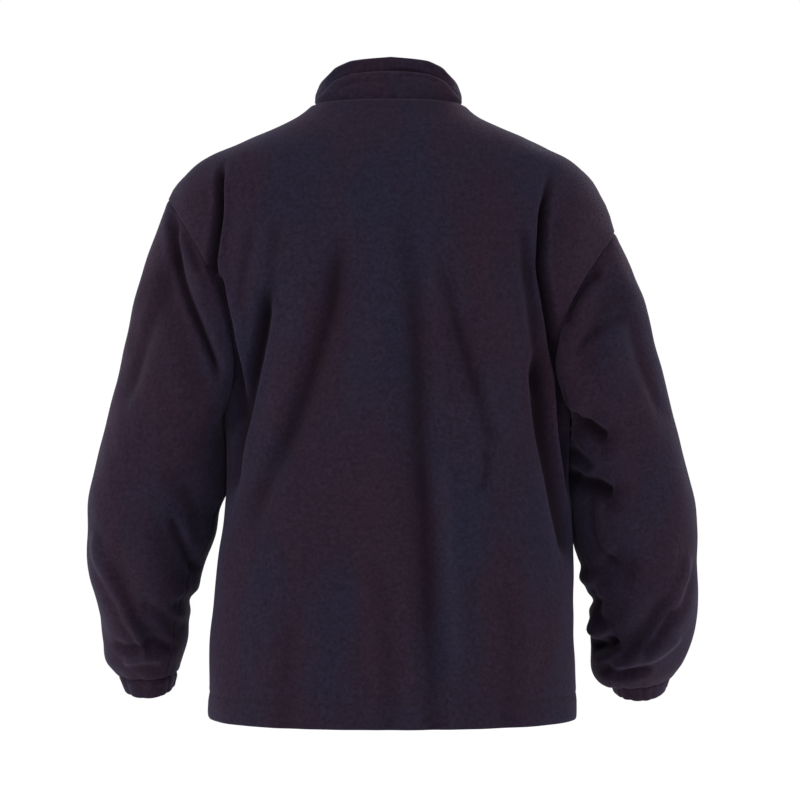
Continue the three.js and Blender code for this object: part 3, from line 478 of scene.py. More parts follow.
# Sizes of teeth and stitches along a row vary between these, drawn from this seed
ROW_SIZES = (0.94, 1.05)
ROW_SEED = 7

# Sizes of the materials' patterns and depths of their bumps, in metres
NAP = {"clumps": 0.0042, "fibres": 0.0011, "patches": 0.085, "depth": 0.0016}
PATCH_STRETCH = (1, 1, 0.45)
WEAVE = {"ribs": 0.0011, "picks": 0.0008, "depth": 0.0003}
THREAD = {"twist": 0.0004, "depth": 0.0001}
PLASTIC = {"grain": 0.0005, "clouds": 0.02, "depth": 0.00005}
PAINT = {"grain": 0.0006, "scuffs": 0.0022, "depth": 0.00006}

# The studio's floor: radius (millimetres), rings and spokes, and where it fades out and its grain (metres)
FLOOR = {"radius": 3200, "rings": 12, "spokes": 64, "fade": (0.9, 2.8), "grain": 0.05}
# Its lights: name, place and size (metres) and share of the key light's power; what they point at; and the
# camera's place and lens
LIGHTS = [
    ("key", (3.0, 1.4, -0.1), 1.2, 1.0),
    ("fill", (-3.0, 1.3, 0.3), 1.8, 0.88),
    ("top", (0.0, 0.4, 2.8), 1.6, 0.1),
    ("low", (1.2, 2.5, -0.8), 1.6, 0.2),
    ("front_key", (-1.8, -2.6, 1.5), 1.2, 0.9),
    ("front_fill", (2.4, -2.2, 0.4), 1.8, 0.4),
]
LOOK_AT = (0.0, 0.0, -0.33)
CAMERA_AT = (-0.0101, 3.0, -0.3319)
LENS = 120


# The shape of the cloth


def blend(a, b, t):
    return a + (b - a) * t


def smooth(low, high, value):
    t = np.clip((value - low) / (high - low), 0, 1)
    return t * t * (3 - 2 * t)


def read_table(table, value):
    """A table's columns at values of its first column, along a smooth curve through its rows."""
    table = np.asarray(table, float)
    value = np.asarray(value, float)
    keys = table[:, 0]
    last = len(keys) - 1
    before = np.maximum(np.arange(last + 1) - 1, 0)
    after = np.minimum(np.arange(last + 1) + 1, last)
    slopes = (table[after] - table[before]) / (keys[after] - keys[before])[:, None]
    i = np.clip(np.searchsorted(keys, value) - 1, 0, last - 1)
    step = (keys[i + 1] - keys[i])[..., None]
    t = np.clip((value - keys[i])[..., None] / step, 0, 1)
    start = (2 * t**3 - 3 * t**2 + 1) * table[i] + (t**3 - 2 * t**2 + t) * slopes[i] * step
    end = (3 * t**2 - 2 * t**3) * table[i + 1] + (t**3 - t**2) * slopes[i + 1] * step
    return start + end


def solve(low, high, function):
    """Where a function that only rises or only falls passes zero."""
    rising = function(high) > function(low)
    for _ in range(HALVINGS):
        middle = (low + high) / 2
        above = (function(middle) > 0) == rising
        low, high = np.where(above, low, middle), np.where(above, middle, high)
    return (low + high) / 2


def half_width(side, z):
    section = read_table(SECTIONS, z)
    return section[..., 1] if side > 0 else section[..., 2]


def depth_of(face, z):
    section = read_table(SECTIONS, z)
    return section[..., 3] if face > 0 else section[..., 4]


def angle_of_x(side, x, z):
    return np.arcsin(np.minimum(1, np.abs(x) / half_width(side, z)) ** (SECTION_POWER / 2))


def body_place(side, face, angle, z):
    """A place on the body: angle 0 is the centre line and a right angle is the side."""
    across = np.maximum(0, np.sin(angle)) ** (2 / SECTION_POWER)
    deep = np.maximum(0, np.cos(angle)) ** (2 / SECTION_POWER)
    return np.stack(
        [side * half_width(side, z) * across, face * depth_of(face, z) * deep, z + 0 * angle], axis=-1
    )


def side_name(side):
    return "left" if side > 0 else "right"


def row_end(side, face, row):
    """Angle and height where rows end: on the side seam, then the armhole, then the shoulder seam."""
    row = np.asarray(row, float)
    tip_z = SHOULDER_TIP_Z[side_name(side)]
    side_z = blend(HEM_Z, UNDERARM_Z, row / SIDE_ROWS)
    turn = np.pi * np.clip((row - SIDE_ROWS) / ARMHOLE_ROWS, 0, 1)
    armhole_z = (UNDERARM_Z + tip_z) / 2 - (tip_z - UNDERARM_Z) / 2 * np.cos(turn)
    y = ARMHOLE_DEPTH[side_name(side)][face] * np.maximum(0, np.sin(turn)) ** ARMHOLE_POWER
    armhole_angle = np.arccos(np.minimum(1, y / depth_of(face, armhole_z)) ** (SECTION_POWER / 2))
    share = np.clip((row - SHOULDER_START) / SHOULDER_ROWS, 0, 1)
    x = blend(half_width(side, tip_z), NECK[side_name(side)], share)
    low, high = np.full(row.shape, float(tip_z)), np.zeros(row.shape)
    shoulder_z = np.where(share >= 1, 0, solve(low, high, lambda z: half_width(side, z) - x))
    in_armhole = (row > SIDE_ROWS) & (row < SHOULDER_START)
    angle = np.where(in_armhole, armhole_angle, np.pi / 2)
    z = np.where(row <= SIDE_ROWS, side_z, np.where(in_armhole, armhole_z, shoulder_z))
    return angle, z


def centre_z(face, row):
    top = NAPE_Z if face > 0 else FRONT_NECK_Z
    above = blend(UNDERARM_Z, top, (row - SIDE_ROWS) / (TOP_ROW - SIDE_ROWS))
    return np.where(row <= SIDE_ROWS, blend(HEM_Z, UNDERARM_Z, row / SIDE_ROWS), above)


def front_neck(side, x):
    """Angle and height of the front neckline, whose ring is drawn as seen from above."""
    width = NECK[side_name(side)]
    y = NECK["front"] * (1 - np.minimum(1, x / width) ** SECTION_POWER) ** (1 / SECTION_POWER)

    def outside(z):
        across = (x / half_width(side, z)) ** SECTION_POWER
        return across + (y / depth_of(-1, z)) ** SECTION_POWER - 1

    low, high = np.full(x.shape, FRONT_NECK_Z - NECK_SEARCH), np.full(x.shape, NECK_SEARCH)
    z = solve(low.astype(float), high.astype(float), outside)
    return angle_of_x(side, x, z), z


def fine(first, last):
    """Rows or columns of the solids' grid, each split into fine steps."""
    return np.linspace(first, last, (last - first) * DETAIL + 1)


def back_places():
    rows = fine(0, TOP_ROW)
    halves = []
    for side, columns in ((-1, fine(-BACK_COLUMNS, 0)[:-1]), (1, fine(0, BACK_COLUMNS))):
        share = np.abs(columns)[None] / BACK_COLUMNS
        angle, z = row_end(side, 1, rows)
        height = blend(centre_z(1, rows)[:, None], z[:, None], share * share)
        halves.append(body_place(side, 1, angle[:, None] * share, height))
    return np.concatenate(halves, axis=1)


def front_spot(side, columns, end, z0):
    """A front's columns: its free edge, the line where the zip is sewn, then even steps to the side."""
    share = np.maximum(0, columns - 1)[None] / (FRONT_COLUMNS - 1)
    z = blend(z0[:, None], end[1][:, None], share * share)
    angle = blend(angle_of_x(side, ZIP_STITCH_LINE, z), end[0][:, None], share)
    edge = angle_of_x(side, ZIP_OPENING_HALF, z0)[:, None]
    near = np.minimum(1, columns)[None]
    return blend(edge, angle, near), z


def neck_spot(side, columns):
    turn = np.pi / 2 * np.maximum(0, columns - 1) / (FRONT_COLUMNS - 1)
    x = blend(ZIP_STITCH_LINE, NECK[side_name(side)], np.sin(turn) ** (2 / SECTION_POWER))
    angle, z = front_neck(side, x)
    first_angle, first_z = front_neck(side, np.full(x.shape, float(ZIP_OPENING_HALF)))
    near = np.minimum(1, columns)
    angle, z = blend(first_angle, angle, near), blend(first_z, z, near)
    last = columns >= FRONT_COLUMNS
    return np.where(last, np.pi / 2, angle), np.where(last, 0, z)


def front_places(side):
    rows, columns = fine(0, TOP_ROW), fine(0, FRONT_COLUMNS)
    angle, z = front_spot(side, columns, row_end(side, -1, rows), centre_z(-1, rows))
    top = np.array([float(TOP_ROW)])
    top_angle, top_z = front_spot(side, columns, row_end(side, -1, top), np.array([float(FRONT_NECK_Z)]))
    wanted_angle, wanted_z = neck_spot(side, columns)
    weight = (np.clip((rows - SIDE_ROWS) / (TOP_ROW - SIDE_ROWS), 0, 1) ** NECK_DRAW)[:, None]
    angle = angle + weight * (wanted_angle[None] - top_angle)
    z = z + weight * (wanted_z[None] - top_z)
    return body_place(side, -1, angle, z)


def armhole_loop(side):
    """The armhole, from the shoulder tip down the back, under the arm and up the front."""
    down = fine(0, ARMHOLE_ROWS)
    back = body_place(side, 1, *row_end(side, 1, SHOULDER_START - down))
    front = body_place(side, -1, *row_end(side, -1, SHOULDER_START - down))
    return np.vstack([back, front[::-1][1:-1]])


def rings(side, sections, count):
    """Rings of a sleeve, one for each section (outX, outZ, inX, inZ, y, deep, tip)."""
    out_x, out_z, in_x, in_z, y, deep, tip = np.asarray(sections, float).T
    middle = np.stack([side * (out_x + in_x) / 2, y, (out_z + in_z) / 2], axis=-1)
    across = np.stack([side * (out_x - in_x) / 2, 0 * y, (out_z - in_z) / 2], axis=-1)
    behind = np.stack([0 * y, deep * np.cos(tip), -deep * np.sin(tip)], axis=-1)
    turn = 2 * np.pi * np.arange(count) / count
    around = np.cos(turn)[None, :, None] * across[:, None] + np.sin(turn)[None, :, None] * behind[:, None]
    return middle[:, None] + around


def sleeve_places(side):
    loop = armhole_loop(side)
    tip, under = loop[0], loop[ARMHOLE_ROWS * DETAIL]
    deep = ARMHOLE_DEPTH[side_name(side)][1]
    first = (abs(tip[0]), tip[2], abs(under[0]), under[2], 0, deep, 0)
    sections = np.array([first, *SLEEVE_SECTIONS[side_name(side)]], float)
    steps = np.diff(sections, axis=0)
    lengths = np.linalg.norm(steps[:, [0, 1, 4]], axis=1) + np.linalg.norm(steps[:, [2, 3, 4]], axis=1)
    travelled = np.concatenate([[0], np.cumsum(lengths)])
    share = fine(0, SLEEVE_RINGS) / SLEEVE_RINGS
    read = read_table(np.column_stack([travelled, sections]), travelled[-1] * share)[:, 1:]
    keep = (1 - smooth(0, LOOP_FADE, share)) ** LOOP_FADE_POWER
    own_shape = loop - rings(side, [first], len(loop))[0]
    return rings(side, read, len(loop)) + keep[:, None, None] * own_shape[None]


def cuff_places(sleeve):
    """The elastic band: it carries the sleeve's last ring on, narrower towards its edge."""
    ring = sleeve[-1]
    direction = (ring - sleeve[-1 - 2 * DETAIL]).sum(axis=0)
    direction /= np.linalg.norm(direction)
    middle = ring.mean(axis=0)
    share = np.linspace(0, 1, CUFF_RINGS + 1)[:, None, None]
    narrow = blend(1, CUFF_NARROWING, share)
    places = middle + (ring - middle)[None] * narrow + direction * CUFF_LENGTH * share
    places[..., 2] -= CUFF_TILT * share[..., 0] * (places[..., 1] - middle[1])
    return places


def collar_places(neckline):
    """The collar stands on the neckline, leans with the neck, and bulges below a crease."""
    x, y = neckline[:, 0], neckline[:, 1]
    width = np.where(x > 0, NECK["left"], NECK["right"])
    deep = np.where(y > 0, NECK["back"], NECK["front"])
    turn = np.arctan2(np.abs(x) / width, y / deep)
    _, top_z, crease, bulge, flare = read_table(COLLAR_EDGE, np.degrees(turn)).T
    outward = np.stack([np.sign(x) * np.sin(turn), np.cos(turn), 0 * x], axis=-1)
    top = np.stack([x * (1 - COLLAR_TAPER * np.sin(turn) ** 2), y + COLLAR_LEAN, top_z], axis=-1)
    part = np.linspace(0, 2, COLLAR_RINGS + 1)[:, None]
    _, out, lift = np.moveaxis(read_table(COLLAR_PROFILE, part), -1, 0)
    height = np.where(part <= 1, part * crease, blend(crease, 1, part - 1))
    raised = lift * bulge / COLLAR_EDGE[0][3]
    places = blend(neckline[None], top[None], height[..., None])
    stand = smooth(0, COLLAR_STAND, height) * (1 - COLLAR_STAND_LOSS * height)
    places = places + outward[None] * (bulge * out + flare * stand)[..., None]
    places[..., 2] += raised
    return places


# Where each edge of a panel's grid lies, and the row or column just inside it
EDGE_SLICES = {
    "first_row": (np.s_[0, :], np.s_[1, :]),
    "last_row": (np.s_[-1, :], np.s_[-2, :]),
    "first_column": (np.s_[:, 0], np.s_[:, 1]),
    "last_column": (np.s_[:, -1], np.s_[:, -2]),
}


class Panel:
    """A cut piece of cloth: a grid of places in millimetres, whose rows run from one end to the other."""

    def __init__(self, name, places, flip, wrap=False, folds=(), sewn=(), free=()):
        self.name = name
        self.places = places
        self.flip = flip
        self.wrap = wrap
        self.folds = folds
        self.sewn = sewn
        self.free = free
        self.hollow = np.zeros(places.shape[:2])

    def from_edge(self, edge):
        """How far each place lies from one edge, along the cloth."""
        places = self.places if edge.endswith("row") else self.places.transpose(1, 0, 2)
        if edge.startswith("last"):
            places = places[::-1]
        steps = np.linalg.norm(np.diff(places, axis=0), axis=2)
        travelled = np.vstack([np.zeros((1, steps.shape[1])), np.cumsum(steps, axis=0)])
        if edge.startswith("last"):
            travelled = travelled[::-1]
        return travelled if edge.endswith("row") else travelled.T


def smooth_path(points, count):
    """A soft curve through a few points, as evenly spaced places."""
    points = np.array(points, float)
    run = [2 * points[0] - points[1], *points, 2 * points[-1] - points[-2]]
    t = np.linspace(0, 1, CURVE_POINTS, endpoint=False)[:, None]
    pieces = []
    for a, b, c, d in zip(run, run[1:], run[2:], run[3:]):
        ab, bc, cd = (np.sqrt(np.linalg.norm(q - p)) for p, q in ((a, b), (b, c), (c, d)))
        m = ((b - a) / ab - (c - a) / (ab + bc) + (c - b) / bc) * bc
        n = ((c - b) / bc - (d - b) / (bc + cd) + (d - c) / cd) * bc
        pieces.append(
            (2 * t**3 - 3 * t**2 + 1) * b
            + (t**3 - 2 * t**2 + t) * m
            + (3 * t**2 - 2 * t**3) * c
            + (t**3 - t**2) * n
        )
    line = np.vstack([*pieces, points[-1:]])
    travelled = np.concatenate([[0], np.cumsum(np.linalg.norm(np.diff(line, axis=0), axis=1))])
    even = np.linspace(0, travelled[-1], count + 1)
    return np.column_stack([np.interp(even, travelled, column) for column in line.T])


def fold_move(fold, places, outward):
    """How far one fold moves each place: a soft trough with a low ridge on each side."""
    face, width, depth, path = fold
    if face == OUTER:
        flat = places[:, [1, 2]]
        shown = smooth(*SIDE_SHOWS, np.sign(places[:, 0]) * outward[:, 0])
        shown = shown * smooth(*OUTER_SHOWS, np.abs(outward[:, 1]))
    else:
        flat = places[:, [0, 2]]
        shown = smooth(*SIDE_SHOWS, face * outward[:, 1]) if face else np.ones(len(places))
    line = smooth_path(path, PATH_STEPS)
    reach = FOLD_REACH * width
    low, high = line.min(axis=0) - reach, line.max(axis=0) + reach
    near = (shown > 0) & (flat > low).all(axis=1) & (flat < high).all(axis=1)
    move = np.zeros(len(places))
    if not near.any():
        return move
    a, step = line[:-1], np.diff(line, axis=0)
    offset = flat[near][:, None] - a[None]
    t = np.clip((offset * step).sum(axis=2) / (step**2).sum(axis=1), 0, 1)
    distance = np.linalg.norm(offset - t[..., None] * step[None], axis=2)
    nearest = distance.argmin(axis=1)
    pick = np.arange(len(nearest))
    along = (nearest + t[pick, nearest]) / PATH_STEPS
    q = distance[pick, nearest] / width
    fade = FOLD_FADE if width > CREASE_WIDTH else CREASE_FADE
    ends = smooth(0, fade, along) * smooth(0, fade, 1 - along)
    move[near] = shown[near] * ends * depth * (1 - FOLD_RIDGE * q * q) * np.exp(-q * q / 2)
    return move


def swell(places, seed, spacing, stretch):
    """Soft uneven swells about one spacing apart, from about -1 to 1, longer along stretched axes."""
    draw = np.random.default_rng(seed)
    total = np.zeros(len(places))
    for _ in range(SWELL_WAVES):
        direction = draw.normal(size=3)
        direction /= np.linalg.norm(direction)
        speed = 2 * np.pi / (spacing * draw.uniform(*SWELL_LENGTHS))
        total += np.sin((places / stretch) @ direction * speed + draw.uniform(0, 2 * np.pi))
    return total / np.sqrt(SWELL_WAVES)


def shared_places(panels):
    """One number for each place of all the panels, alike where panels meet."""
    everything = np.vstack([p.places.reshape(-1, 3) for p in panels])
    keys = np.round(everything * KEYS_PER_MM).astype(np.int64)
    _, numbers = np.unique(keys, axis=0, return_inverse=True)
    return numbers.reshape(-1)


def outward_directions(panels, shared):
    """A direction out of the cloth at each place, alike where panels meet."""
    sums = np.zeros((shared.max() + 1, 3))
    start = 0
    for panel in panels:
        rows, columns = panel.places.shape[:2]
        numbers = shared[start : start + rows * columns].reshape(rows, columns)
        start += rows * columns
        places = panel.places
        if panel.wrap:
            places = np.concatenate([places, places[:, :1]], axis=1)
            numbers = np.concatenate([numbers, numbers[:, :1]], axis=1)
        face = np.cross(places[1:, 1:] - places[:-1, :-1], places[1:, :-1] - places[:-1, 1:])
        face = (face if not panel.flip else -face).reshape(-1, 3)
        for corner in (numbers[:-1, :-1], numbers[:-1, 1:], numbers[1:, :-1], numbers[1:, 1:]):
            for axis in range(3):
                sums[:, axis] += np.bincount(corner.ravel(), face[:, axis], len(sums))
    sums /= np.maximum(np.linalg.norm(sums, axis=1, keepdims=True), TINY)
    return sums[shared]


def by_panel(panels, values):
    """Values for all places, cut up again into each panel's own grid."""
    cut, start = [], 0
    for panel in panels:
        rows, columns = panel.places.shape[:2]
        grid = values[start : start + rows * columns]
        cut.append(grid.reshape(rows, columns, *values.shape[1:]))
        start += rows * columns
    return cut


def gather_wave(turn, seed):
    """Sharp valleys and round ridges round an elastic band, from -1 to about 0.6."""
    draw = np.random.default_rng(seed)
    slow = [size * np.sin(times * turn + draw.uniform(0, GATHER_PHASE)) for times, size in GATHER_WAVES]
    bent = turn + slow[0] + slow[1]
    height = GATHER_HEIGHT + slow[2] + slow[3]
    ridges = np.abs(np.sin(GATHERS * bent / 2)) ** GATHER_ROUNDNESS
    return height * (GATHER_RIDGE * ridges - 1)


def from_sleeve_seam(panel):
    """How far each place of a sleeve lies from its long seam, which drifts backwards to the wrist."""
    rows, count = panel.places.shape[:2]
    ring = np.linalg.norm(np.roll(panel.places, -1, axis=1) - panel.places, axis=2).sum(axis=1)
    turn = 2 * np.pi * np.arange(count)[None] / count
    share = np.linspace(0, 1, rows)[:, None]
    seam = np.pi - SLEEVE_SEAM_DRIFT * smooth(SLEEVE_SEAM_STRAIGHT, 1, share)
    return np.abs(turn - seam) / (2 * np.pi) * ring[:, None]


def bell(distance, spread):
    """A soft bump, 1 at no distance and almost gone past two spreads."""
    return np.exp(-((distance / spread) ** 2))


def seam_sink(panel, edge):
    """How far a sewn edge sinks; along the armhole it hardly does."""
    if panel.name.startswith("sleeve") and edge == "first_row":
        return ARMHOLE_SINK
    if panel.name in BODY_PANELS and edge.endswith("column"):
        row = fine(0, TOP_ROW)[:, None]
        from_side = smooth(SIDE_ROWS, SIDE_ROWS + ARMHOLE_BLEND_ROWS, row)
        to_shoulder = smooth(SHOULDER_START, SHOULDER_START - ARMHOLE_BLEND_ROWS, row)
        return blend(SEAM_SINK, ARMHOLE_SINK, from_side * to_shoulder)
    return SEAM_SINK


def gather_move(panel):
    """Gathers round a cuff, and fading up the sleeve above it."""
    count = panel.places.shape[1]
    turn = 2 * np.pi * np.arange(count)[None] / count
    wave = gather_wave(turn, GATHER_SEED[panel.name.split("_")[1]])
    edge = panel.from_edge("last_row")
    if panel.name.startswith("sleeve"):
        return GATHER_DEPTH * wave * (1 - smooth(0, GATHER_REACH, edge)) ** GATHER_FADE_POWER
    return GATHER_DEPTH * wave * blend(1, GATHER_EDGE_SHARE, smooth(0, CUFF_LENGTH, CUFF_LENGTH - edge))


def sewing_move(panel):
    """How sewing shapes one panel: sunk seams, the hem, the zip's stitch lines and the gathers."""
    move = np.zeros(panel.places.shape[:2])
    for edge in panel.sewn:
        distance = panel.from_edge(edge)
        move -= seam_sink(panel, edge) * bell(distance, SEAM_SPREAD)
        move += SEAM_PUFF * bell(distance - PUFF_PLACE * SEAM_SPREAD, PUFF_WIDTH * SEAM_SPREAD)
    if panel.name in BODY_PANELS:
        height = panel.from_edge("first_row")
        move -= STITCH_SINK * bell(height - HEM_DEPTH, STITCH_SPREAD)
        move += HEM_FULLNESS * smooth(HEM_DEPTH, HEM_DEPTH - HEM_SOFT, height) * smooth(0, HEM_FOLD, height)
    if panel.name.startswith("front"):
        move -= STITCH_SINK * bell(panel.from_edge("first_column") - ZIP_STITCH_INSET, STITCH_SPREAD)
    if panel.name.startswith("sleeve"):
        move -= SLEEVE_SEAM_SINK * bell(from_sleeve_seam(panel), SLEEVE_SEAM_SPREAD)
    if panel.name.startswith(("sleeve", "cuff")):
        move += gather_move(panel)
    return move


def painted_fold_shade_of(folds, moves, count):
    """How each place lies in its folds, from 1 deep in one, where the colour is painted darker as shade, to
    -1 on a ridge, where it is painted lighter as a highlight.
    """
    broad, sharp = np.zeros(count), np.zeros(count)
    for (_, width, _, _), move in zip(folds, moves):
        if width > CREASE_WIDTH:
            broad += move
        else:
            sharp += move
    return np.clip(-broad / FOLD_FULL_SHADE - sharp / CREASE_FULL_SHADE, -1, 1)


def cloth_panels():
    """Every panel at rest on the body, before its folds."""
    back = back_places()
    fronts = {name: front_places(side) for name, side in SIDES.items()}
    neckline = np.vstack([fronts["right"][-1], back[-1][1:-1], fronts["left"][-1][::-1]])
    body_folds = BODY_FOLDS + BODY_CREASES
    panels = [
        Panel("back", back, True, folds=body_folds, sewn=("first_column", "last_column", "last_row"),
              free=("first_row",)),
        Panel("front_left", fronts["left"], False, folds=body_folds, sewn=("last_column", "last_row"),
              free=("first_row", "first_column")),
        Panel("front_right", fronts["right"], True, folds=body_folds, sewn=("last_column", "last_row"),
              free=("first_row", "first_column")),
        Panel("collar", collar_places(neckline), True, folds=COLLAR_CREASES, sewn=("first_row",),
              free=("last_row", "first_column", "last_column")),
    ]
    for name, side in SIDES.items():
        sleeve = sleeve_places(side)
        folds = SLEEVE_FOLDS[name] + SLEEVE_CREASES[name]
        panels.append(Panel(f"sleeve_{name}", sleeve, side > 0, True, folds, ("first_row", "last_row")))
        panels.append(Panel(f"cuff_{name}", cuff_places(sleeve), side > 0, True, (), ("first_row",),
                            ("last_row",)))
    return panels


def averaged(values, shared):
    """Each panel's values, made alike where panels meet."""
    values = np.concatenate(values)
    return (np.bincount(shared, values) / np.bincount(shared))[shared]


def swell_move(panels, height):
    """Small swells all over the cloth, calm beside the zip and on the collar."""
    everything = np.vstack([panel.places.reshape(-1, 3) for panel in panels])
    x, y, z = everything.T
    strength = smooth(*SWELLS_ACROSS, np.abs(x)) + smooth(*SWELLS_BACK, y)
    strength = np.clip(strength, 0, 1) * smooth(*SWELLS_DOWN, z)
    swells = sum(share * swell(everything, *details) for *details, share in SWELLS)
    return strength * height * swells


def shape_cloth(settings):
    """Folds, sews and swells the panels, and gives each its inner and outer side."""
    panels = cloth_panels()
    shared = shared_places(panels)
    outward = outward_directions(panels, shared)
    moves, painted_fold_shades = [], []
    for panel, direction in zip(panels, by_panel(panels, outward)):
        places, direction = panel.places.reshape(-1, 3), direction.reshape(-1, 3)
        folded = [fold_move(fold, places, direction) for fold in panel.folds]
        moves.append(sum(folded) + sewing_move(panel).reshape(-1))
        # Each place's painted shade in its folds, and painted highlight on their ridges, from the folds'
        # depth
        painted_fold_shades.append(painted_fold_shade_of(panel.folds, folded, len(places)))
    moves = averaged(moves, shared) + swell_move(panels, settings.wrinkle_height / MM)
    cut = (by_panel(panels, values) for values in (moves, outward, averaged(painted_fold_shades, shared)))
    for panel, move, direction, hollow in zip(panels, *cut):
        panel.places = panel.places + direction * move[..., None]
        panel.hollow = hollow
    give_walls(panels, shared, settings)
    return {panel.name: panel for panel in panels}


def lapped(panel, places):
    """A grid whose sewn edges reach a little past the seam, so that no light shows between neighbours."""
    drawn = places.copy()
    for edge in panel.sewn:
        at, inside = EDGE_SLICES[edge]
        step = places[inside] - places[at]
        drawn[at] -= step / np.linalg.norm(step, axis=1, keepdims=True) * SEAM_LAP / 2
    return drawn


def give_walls(panels, shared, settings):
    """Gives each panel its outer and inner side, further apart at the turned-up hem and the seams."""
    outward = outward_directions(panels, shared)
    single = {"collar": settings.collar_thickness, "cuff": settings.cuff_thickness}
    for panel, direction in zip(panels, by_panel(panels, outward)):
        kind = panel.name.split("_")[0]
        thick = np.full(panel.places.shape[:2], single.get(kind, settings.fleece_thickness) / MM)
        if panel.name in BODY_PANELS:
            start, end = HEM_STEP
            hem = smooth(HEM_DEPTH + start, HEM_DEPTH + end, panel.from_edge("first_row"))
            if kind == "front":
                hem = hem * smooth(*HEM_FROM_ZIP, panel.from_edge("first_column"))
            thick += thick * HEM_LAYER * hem
        if kind not in single:
            for edge in panel.sewn:
                thick += SEAM_ALLOWANCE * bell(panel.from_edge(edge), ALLOWANCE_SPREAD)
        inner = panel.places - direction * thick[..., None]
        panel.outer = lapped(panel, panel.places)
        panel.inner = lapped(panel, inner)
        panel.outward = direction


# Meshes and pieces


def boundary(rows, columns, wrap):
    """The grid's open edges, as loops of indices that keep the cloth on their left."""
    index = np.arange(rows * columns).reshape(rows, columns)
    if wrap:
        return [index[0], index[-1][::-1]]
    return [np.concatenate([index[0, :-1], index[:-1, -1], index[-1, :0:-1], index[:0:-1, 0]])]


def edge_away(panel, places):
    """At the open edges, the direction that leads off the cloth; a free edge is rounded along it."""
    away = np.zeros_like(places)
    for edge in panel.free:
        at, inside = EDGE_SLICES[edge]
        step = places[at] - places[inside]
        away[at] += step / np.linalg.norm(step, axis=-1, keepdims=True)
    return away / np.maximum(np.linalg.norm(away, axis=-1, keepdims=True), TINY)


def wall_mesh(panel):
    """A closed wall as places, quads and painted fold shade values: outer side, inner side, and a rim at
    open edges.
    """
    rows, columns = panel.outer.shape[:2]
    count = rows * columns
    outer, inner = panel.outer.reshape(-1, 3), panel.inner.reshape(-1, 3)
    index = np.arange(count).reshape(rows, columns)
    if panel.wrap:
        index = np.concatenate([index, index[:, :1]], axis=1)
    a, b = index[:-1, :-1].ravel(), index[:-1, 1:].ravel()
    d, e = index[1:, :-1].ravel(), index[1:, 1:].ravel()
    faces = [np.stack([a, b, e, d], axis=1), np.stack([a, d, e, b], axis=1) + count]
    places = [outer, inner]
    hollow = panel.hollow.reshape(-1)
    painted_fold_shades = [hollow, hollow]
    away = edge_away(panel, panel.outer).reshape(-1, 3)
    total = 2 * count
    for loop in boundary(rows, columns, panel.wrap):
        middle, half = (outer[loop] + inner[loop]) / 2, (outer[loop] - inner[loop]) / 2
        radius = np.linalg.norm(half, axis=1, keepdims=True)
        layers = [loop]
        for k in range(1, EDGE_STEPS):
            turn = np.pi * k / EDGE_STEPS
            places.append(middle + half * np.cos(turn) + away[loop] * radius * np.sin(turn))
            painted_fold_shades.append(hollow[loop])
            layers.append(np.arange(total, total + len(loop)))
            total += len(loop)
        layers.append(loop + count)
        for near, far in zip(layers, layers[1:]):
            faces.append(np.stack([near, far, np.roll(far, -1), np.roll(near, -1)], axis=1))
    faces = np.vstack(faces)
    return np.vstack(places), faces[:, ::-1] if panel.flip else faces, np.concatenate(painted_fold_shades)


def new_piece(name, mesh):
    piece = bpy.data.objects.new(name, mesh)
    bpy.context.scene.collection.objects.link(piece)
    return piece


def mesh_piece(name, places, faces, finish, soft=True, hollow=None):
    """A piece from places in millimetres."""
    mesh = bpy.data.meshes.new(name)
    mesh.from_pydata((np.asarray(places) * MM).tolist(), [], [list(map(int, f)) for f in faces])
    mesh.polygons.foreach_set("use_smooth", [soft] * len(mesh.polygons))
    mesh.materials.append(finish)
    if hollow is not None:
        attribute = mesh.attributes.new("hollow", "FLOAT", "POINT")
        attribute.data.foreach_set("value", np.asarray(hollow, np.float32))
    mesh.update()
    return new_piece(name, mesh)


def finish_piece(piece, slot, *nodes, body=BODY):
    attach(piece, body)
    if nodes:
        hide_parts(*nodes)
    return piece


made = {}


def cloth(context):
    """The shaped panels, worked out once for all the operators."""
    if "panels" not in made:
        made["panels"] = shape_cloth(context.scene.jacket_cloth)
    return made["panels"]


def material(context, kind):
    """One of the jacket's materials, made when it is first asked for."""
    if kind not in made:
        made[kind] = MATERIALS[kind](context.scene.jacket_cloth, context.scene.jacket_zip)
    return made[kind]


# The zip and the stitches


def zip_rows(panels, side):
    """The inner side of the cloth beside the zip, hem to collar top: its edge and its stitch line."""
    front = panels[f"front_{side_name(side)}"].inner
    collar = panels["collar"].inner
    near, sewn = (-1, -1 - DETAIL) if side > 0 else (0, DETAIL)
    edge = np.vstack([front[:-1, 0], collar[:, near]])
    line = np.vstack([front[:-1, DETAIL], collar[:, sewn]])
    return edge + (0, TAPE_GAP, 0), line + (0, TAPE_GAP, 0)


def zip_line(panels):
    """The middle line of the zip on the tapes' front face, from the hem to the collar's top."""
    left, right = zip_rows(panels, 1)[0], zip_rows(panels, -1)[0]
    y = np.maximum(left[:, 1], right[:, 1])
    kernel = np.ones(ZIP_SMOOTHING) / ZIP_SMOOTHING
    y = np.convolve(np.pad(y, ZIP_SMOOTHING // 2, mode="edge"), kernel, mode="valid")
    return np.column_stack([0 * y, y, (left[:, 2] + right[:, 2]) / 2])


def tape_panel(panels, name):
    """One zip tape: it lies behind its front's edge, and parts from the other above the slider."""
    side = SIDES[name]
    start = zip_line(panels)
    _, sewn = zip_rows(panels, side)
    spread = smooth(top_frame(start)[0][2], start[-1, 2], start[:, 2])
    start[:, 0] = side * blend(TAPE["inner"], TAPE["spread"], spread)
    reach = (side * TAPE["outer"] - start[:, 0]) / (sewn[:, 0] - start[:, 0])
    end = blend(start, sewn, reach[:, None])
    share = np.linspace(0, 1, TAPE_COLUMNS + 1)[None, :, None]
    panel = Panel(f"zip_tape_{name}", blend(start[:, None], end[:, None], share), side < 0)
    panel.outer = panel.places
    panel.inner = panel.places + (0, TAPE["thick"], 0)
    return panel


